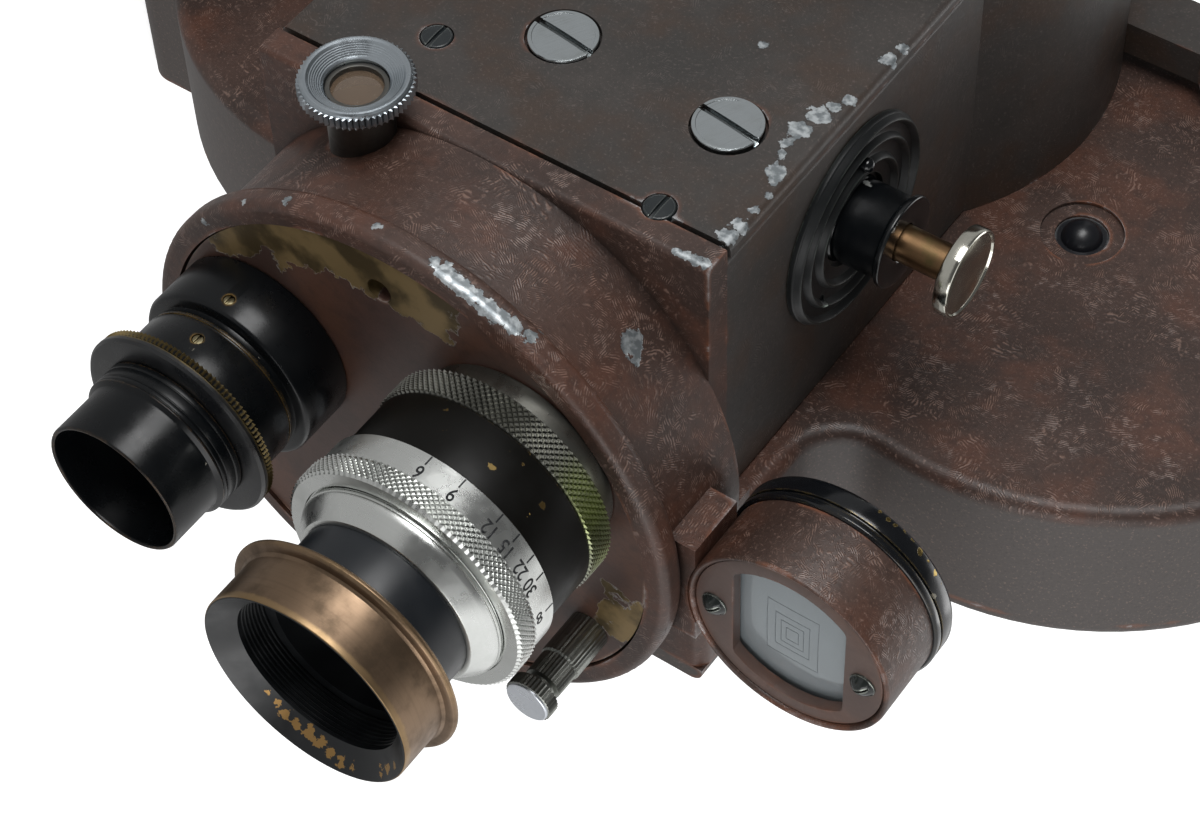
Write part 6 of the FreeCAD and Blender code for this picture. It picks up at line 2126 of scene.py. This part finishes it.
@dataclass
class InnerWorks:
    """Pieces inside the camera and small CAD pieces, which keep their shapes."""

    def finishes(self) -> tuple[tuple[Finish, tuple[str, ...]], ...]:
        """Which finish each of these nodes has.

        Returns:
            Each finish with its nodes.
        """
        # Turned tool steel: neutral grey with fine rings.
        steel = TurnedMetal("turned_tool_steel", "#8f9294", 0.3, tarnish="#5c5e60", along=ACROSS)
        # Cut and lacquered brass: yellow and satin.
        brass = TurnedMetal("cut_gear_brass", "#b08d4a", 0.3, tarnish="#7a6234", along=ACROSS)
        # Nickel plating on turned steel: bright, with a soft shine, and dirt with painted shade in its
        # hollows.
        nickel = TurnedMetal("bright_nickel", "#c2c5c6", 0.24, tarnish="#85888a", along=ACROSS,
                             dirt_and_shade_reach=0.6)
        # Dipped lacquer on pressed steel: smooth satin black.
        black = GlossEnamel("black_lacquer", "#15161a", 0.32, bare="#8d8f90", edge_wear=0.4)
        # Sprayed matt lacquer: black without highlights, which keeps stray light off the film.
        matt = GlossEnamel("matt_black_lacquer", "#101112", 0.6, bare="#55585a", edge_wear=0.3)
        return (
            (steel, ("turret_pivot", "detent_ball", "iris_leaves", "film_sprocket", "spring_barrel",
                     "mainspring", "arbor")),
            (brass, ("gear_bridge", "governor", "sprocket_gear", "tripod_bush")),
            (nickel, ("lock_knob_front", "lock_knob_rear", "key_hub", "key_pin", "key_wing", "footage_dial",
                      "pressure_plate", "aperture_plate")),
            (black, ("supply_spool", "takeup_spool", "gate_bracket", "supply_spindle", "takeup_spindle")),
            (matt, ("claw", "shutter")))

    def build(self) -> None:
        """Dress the inner works."""
        for finish, nodes in self.finishes():
            for node in nodes:
                repaint(node, finish)


@dataclass
class Studio:
    """Camera at the photograph's angle, pale floor and soft light."""

    camera_place: tuple[float, float, float] = (-317.7, -297.6, 288.8)
    looks_along: tuple[float, float, float] = (0.7766, 0.5020, -0.3806)
    picture_right: tuple[float, float, float] = (0.0286, 0.5755, 0.8173)
    focal_length: float = 91.8
    sensor: float = 36.0
    floor_size: float = 12.0
    floor_glow: float = 0.75
    ambient: float = 0.36
    mirrored_floor: float = 0.42
    mirrored_table: float = 1.0
    mirrored_dark: float = 0.1
    lamps: tuple[tuple, ...] = (
        ("key", (-0.95, -0.12, 0.24), (0.0, -0.03, 0.11), (0.6, 0.44), 7.0),
        ("fill", (0.2, -1.0, 0.6), (0.0, -0.03, 0.11), (0.8, 0.6), 3.6),
        ("back", (0.5, 0.9, 0.9), (0.0, 0.0, 0.1), (0.9, 0.6), 4.0))

    def camera(self) -> None:
        """Set up the camera, rolled on its side as the photograph shows the object."""
        data = bpy.data.cameras.new("photo_camera")
        data.lens = self.focal_length
        data.sensor_width = self.sensor
        data.clip_start = 0.01
        data.clip_end = 100.0
        camera = bpy.data.objects.new("photo_camera", data)
        bpy.context.scene.collection.objects.link(camera)
        back = -Vector(self.looks_along).normalized()
        right = Vector(self.picture_right).normalized()
        up = back.cross(right).normalized()
        right = up.cross(back)
        turn = Matrix([right, up, back]).transposed().to_4x4()
        turn.translation = Vector(self.camera_place) * MM
        camera.matrix_world = turn
        bpy.context.scene.camera = camera

    def lamp(self, name: str, place: tuple[float, float, float], aim: tuple[float, float, float],
             size: tuple[float, float], watts: float) -> None:
        """Add a rectangular soft box; places and sizes are in metres.

        Args:
            name: lamp's name.
            place: where it hangs.
            aim: point that it faces.
            size: its width and height.
            watts: its power.
        """
        data = bpy.data.lights.new(name, "AREA")
        data.shape = "RECTANGLE"
        data.size, data.size_y = size
        data.energy = watts
        lamp = bpy.data.objects.new(name, data)
        bpy.context.scene.collection.objects.link(lamp)
        lamp.location = place
        lamp.rotation_euler = (Vector(aim) - Vector(place)).to_track_quat("-Z", "Y").to_euler()

    def floor(self) -> None:
        """Pale floor under the part, which keeps its shadow."""
        deselect()
        bpy.ops.mesh.primitive_plane_add(size=self.floor_size, location=(0, 0, 0))
        floor = bpy.context.active_object
        floor.name = "floor"
        # Painted board: matt and pale, and plain white to the eye and to glass.
        made = bpy.data.materials.new("pale_floor")
        made.use_nodes = True
        made.node_tree.nodes.clear()
        add = partial(add_node, made.node_tree)
        rays = add("LightPath").node.outputs
        seen = add("Math", [rays["Is Camera Ray"], rays["Is Transmission Ray"]], operation="MAXIMUM")
        matt = add("BsdfDiffuse", [linear("#efefee")])
        glow = add("Emission", [(1, 1, 1, 1), add("Math", [seen, self.floor_glow], operation="MULTIPLY")])
        mirrored = add("Emission", [(1, 1, 1, 1), self.mirrored_floor])
        board = add("AddShader", [matt, glow])
        add("OutputMaterial", [add("MixShader", [rays["Is Glossy Ray"], board, mirrored])])
        floor.data.materials.append(made)

    def world(self) -> None:
        """White to the eye; in reflections and through glass, bright towards +x and dark towards -x; a plain
        even light otherwise.
        """
        world = bpy.data.worlds.new("studio")
        world.use_nodes = True
        world.node_tree.nodes.clear()
        add = partial(add_node, world.node_tree)
        rays = add("LightPath").node.outputs
        side = add("VectorMath", [add("TexCoord", out="Generated"), (1.0, 0.0, 0.0)], operation="DOT_PRODUCT")
        studio = add("MapRange", [side, -0.15, 0.35, self.mirrored_dark, self.mirrored_table], **SOFT)
        colour = add("Mix", [rays["Is Camera Ray"], studio, (1, 1, 1, 1)], **COLOURS)
        seen = add("Math", [rays["Is Camera Ray"], rays["Is Transmission Ray"]], operation="MAXIMUM")
        seen = add("Math", [seen, rays["Is Glossy Ray"]], operation="MAXIMUM")
        light = add("Background", [linear("#f4f6f8"), self.ambient])
        add("OutputWorld", [add("MixShader", [seen, light, add("Background", [colour])])])
        bpy.context.scene.world = world

    def build(self) -> None:
        """Build the studio."""
        self.camera()
        self.floor()
        self.world()
        for lamp in self.lamps:
            self.lamp(*lamp)
        bpy.context.scene.view_settings.view_transform = "Standard"
        log.info("studio is set")


def main() -> None:
    """Build every sub-assembly round the frame."""
    logging.basicConfig(level=logging.INFO, format="%(message)s")
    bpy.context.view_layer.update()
    for part in (Castings(), BlackLens(), BrightLens(), Finder(), Focuser(), SpeedDial(), TurretHandle(),
                 Screws(), InnerWorks(), Studio()):
        part.build()
    deselect()


if __name__ == "__main__":
    main()
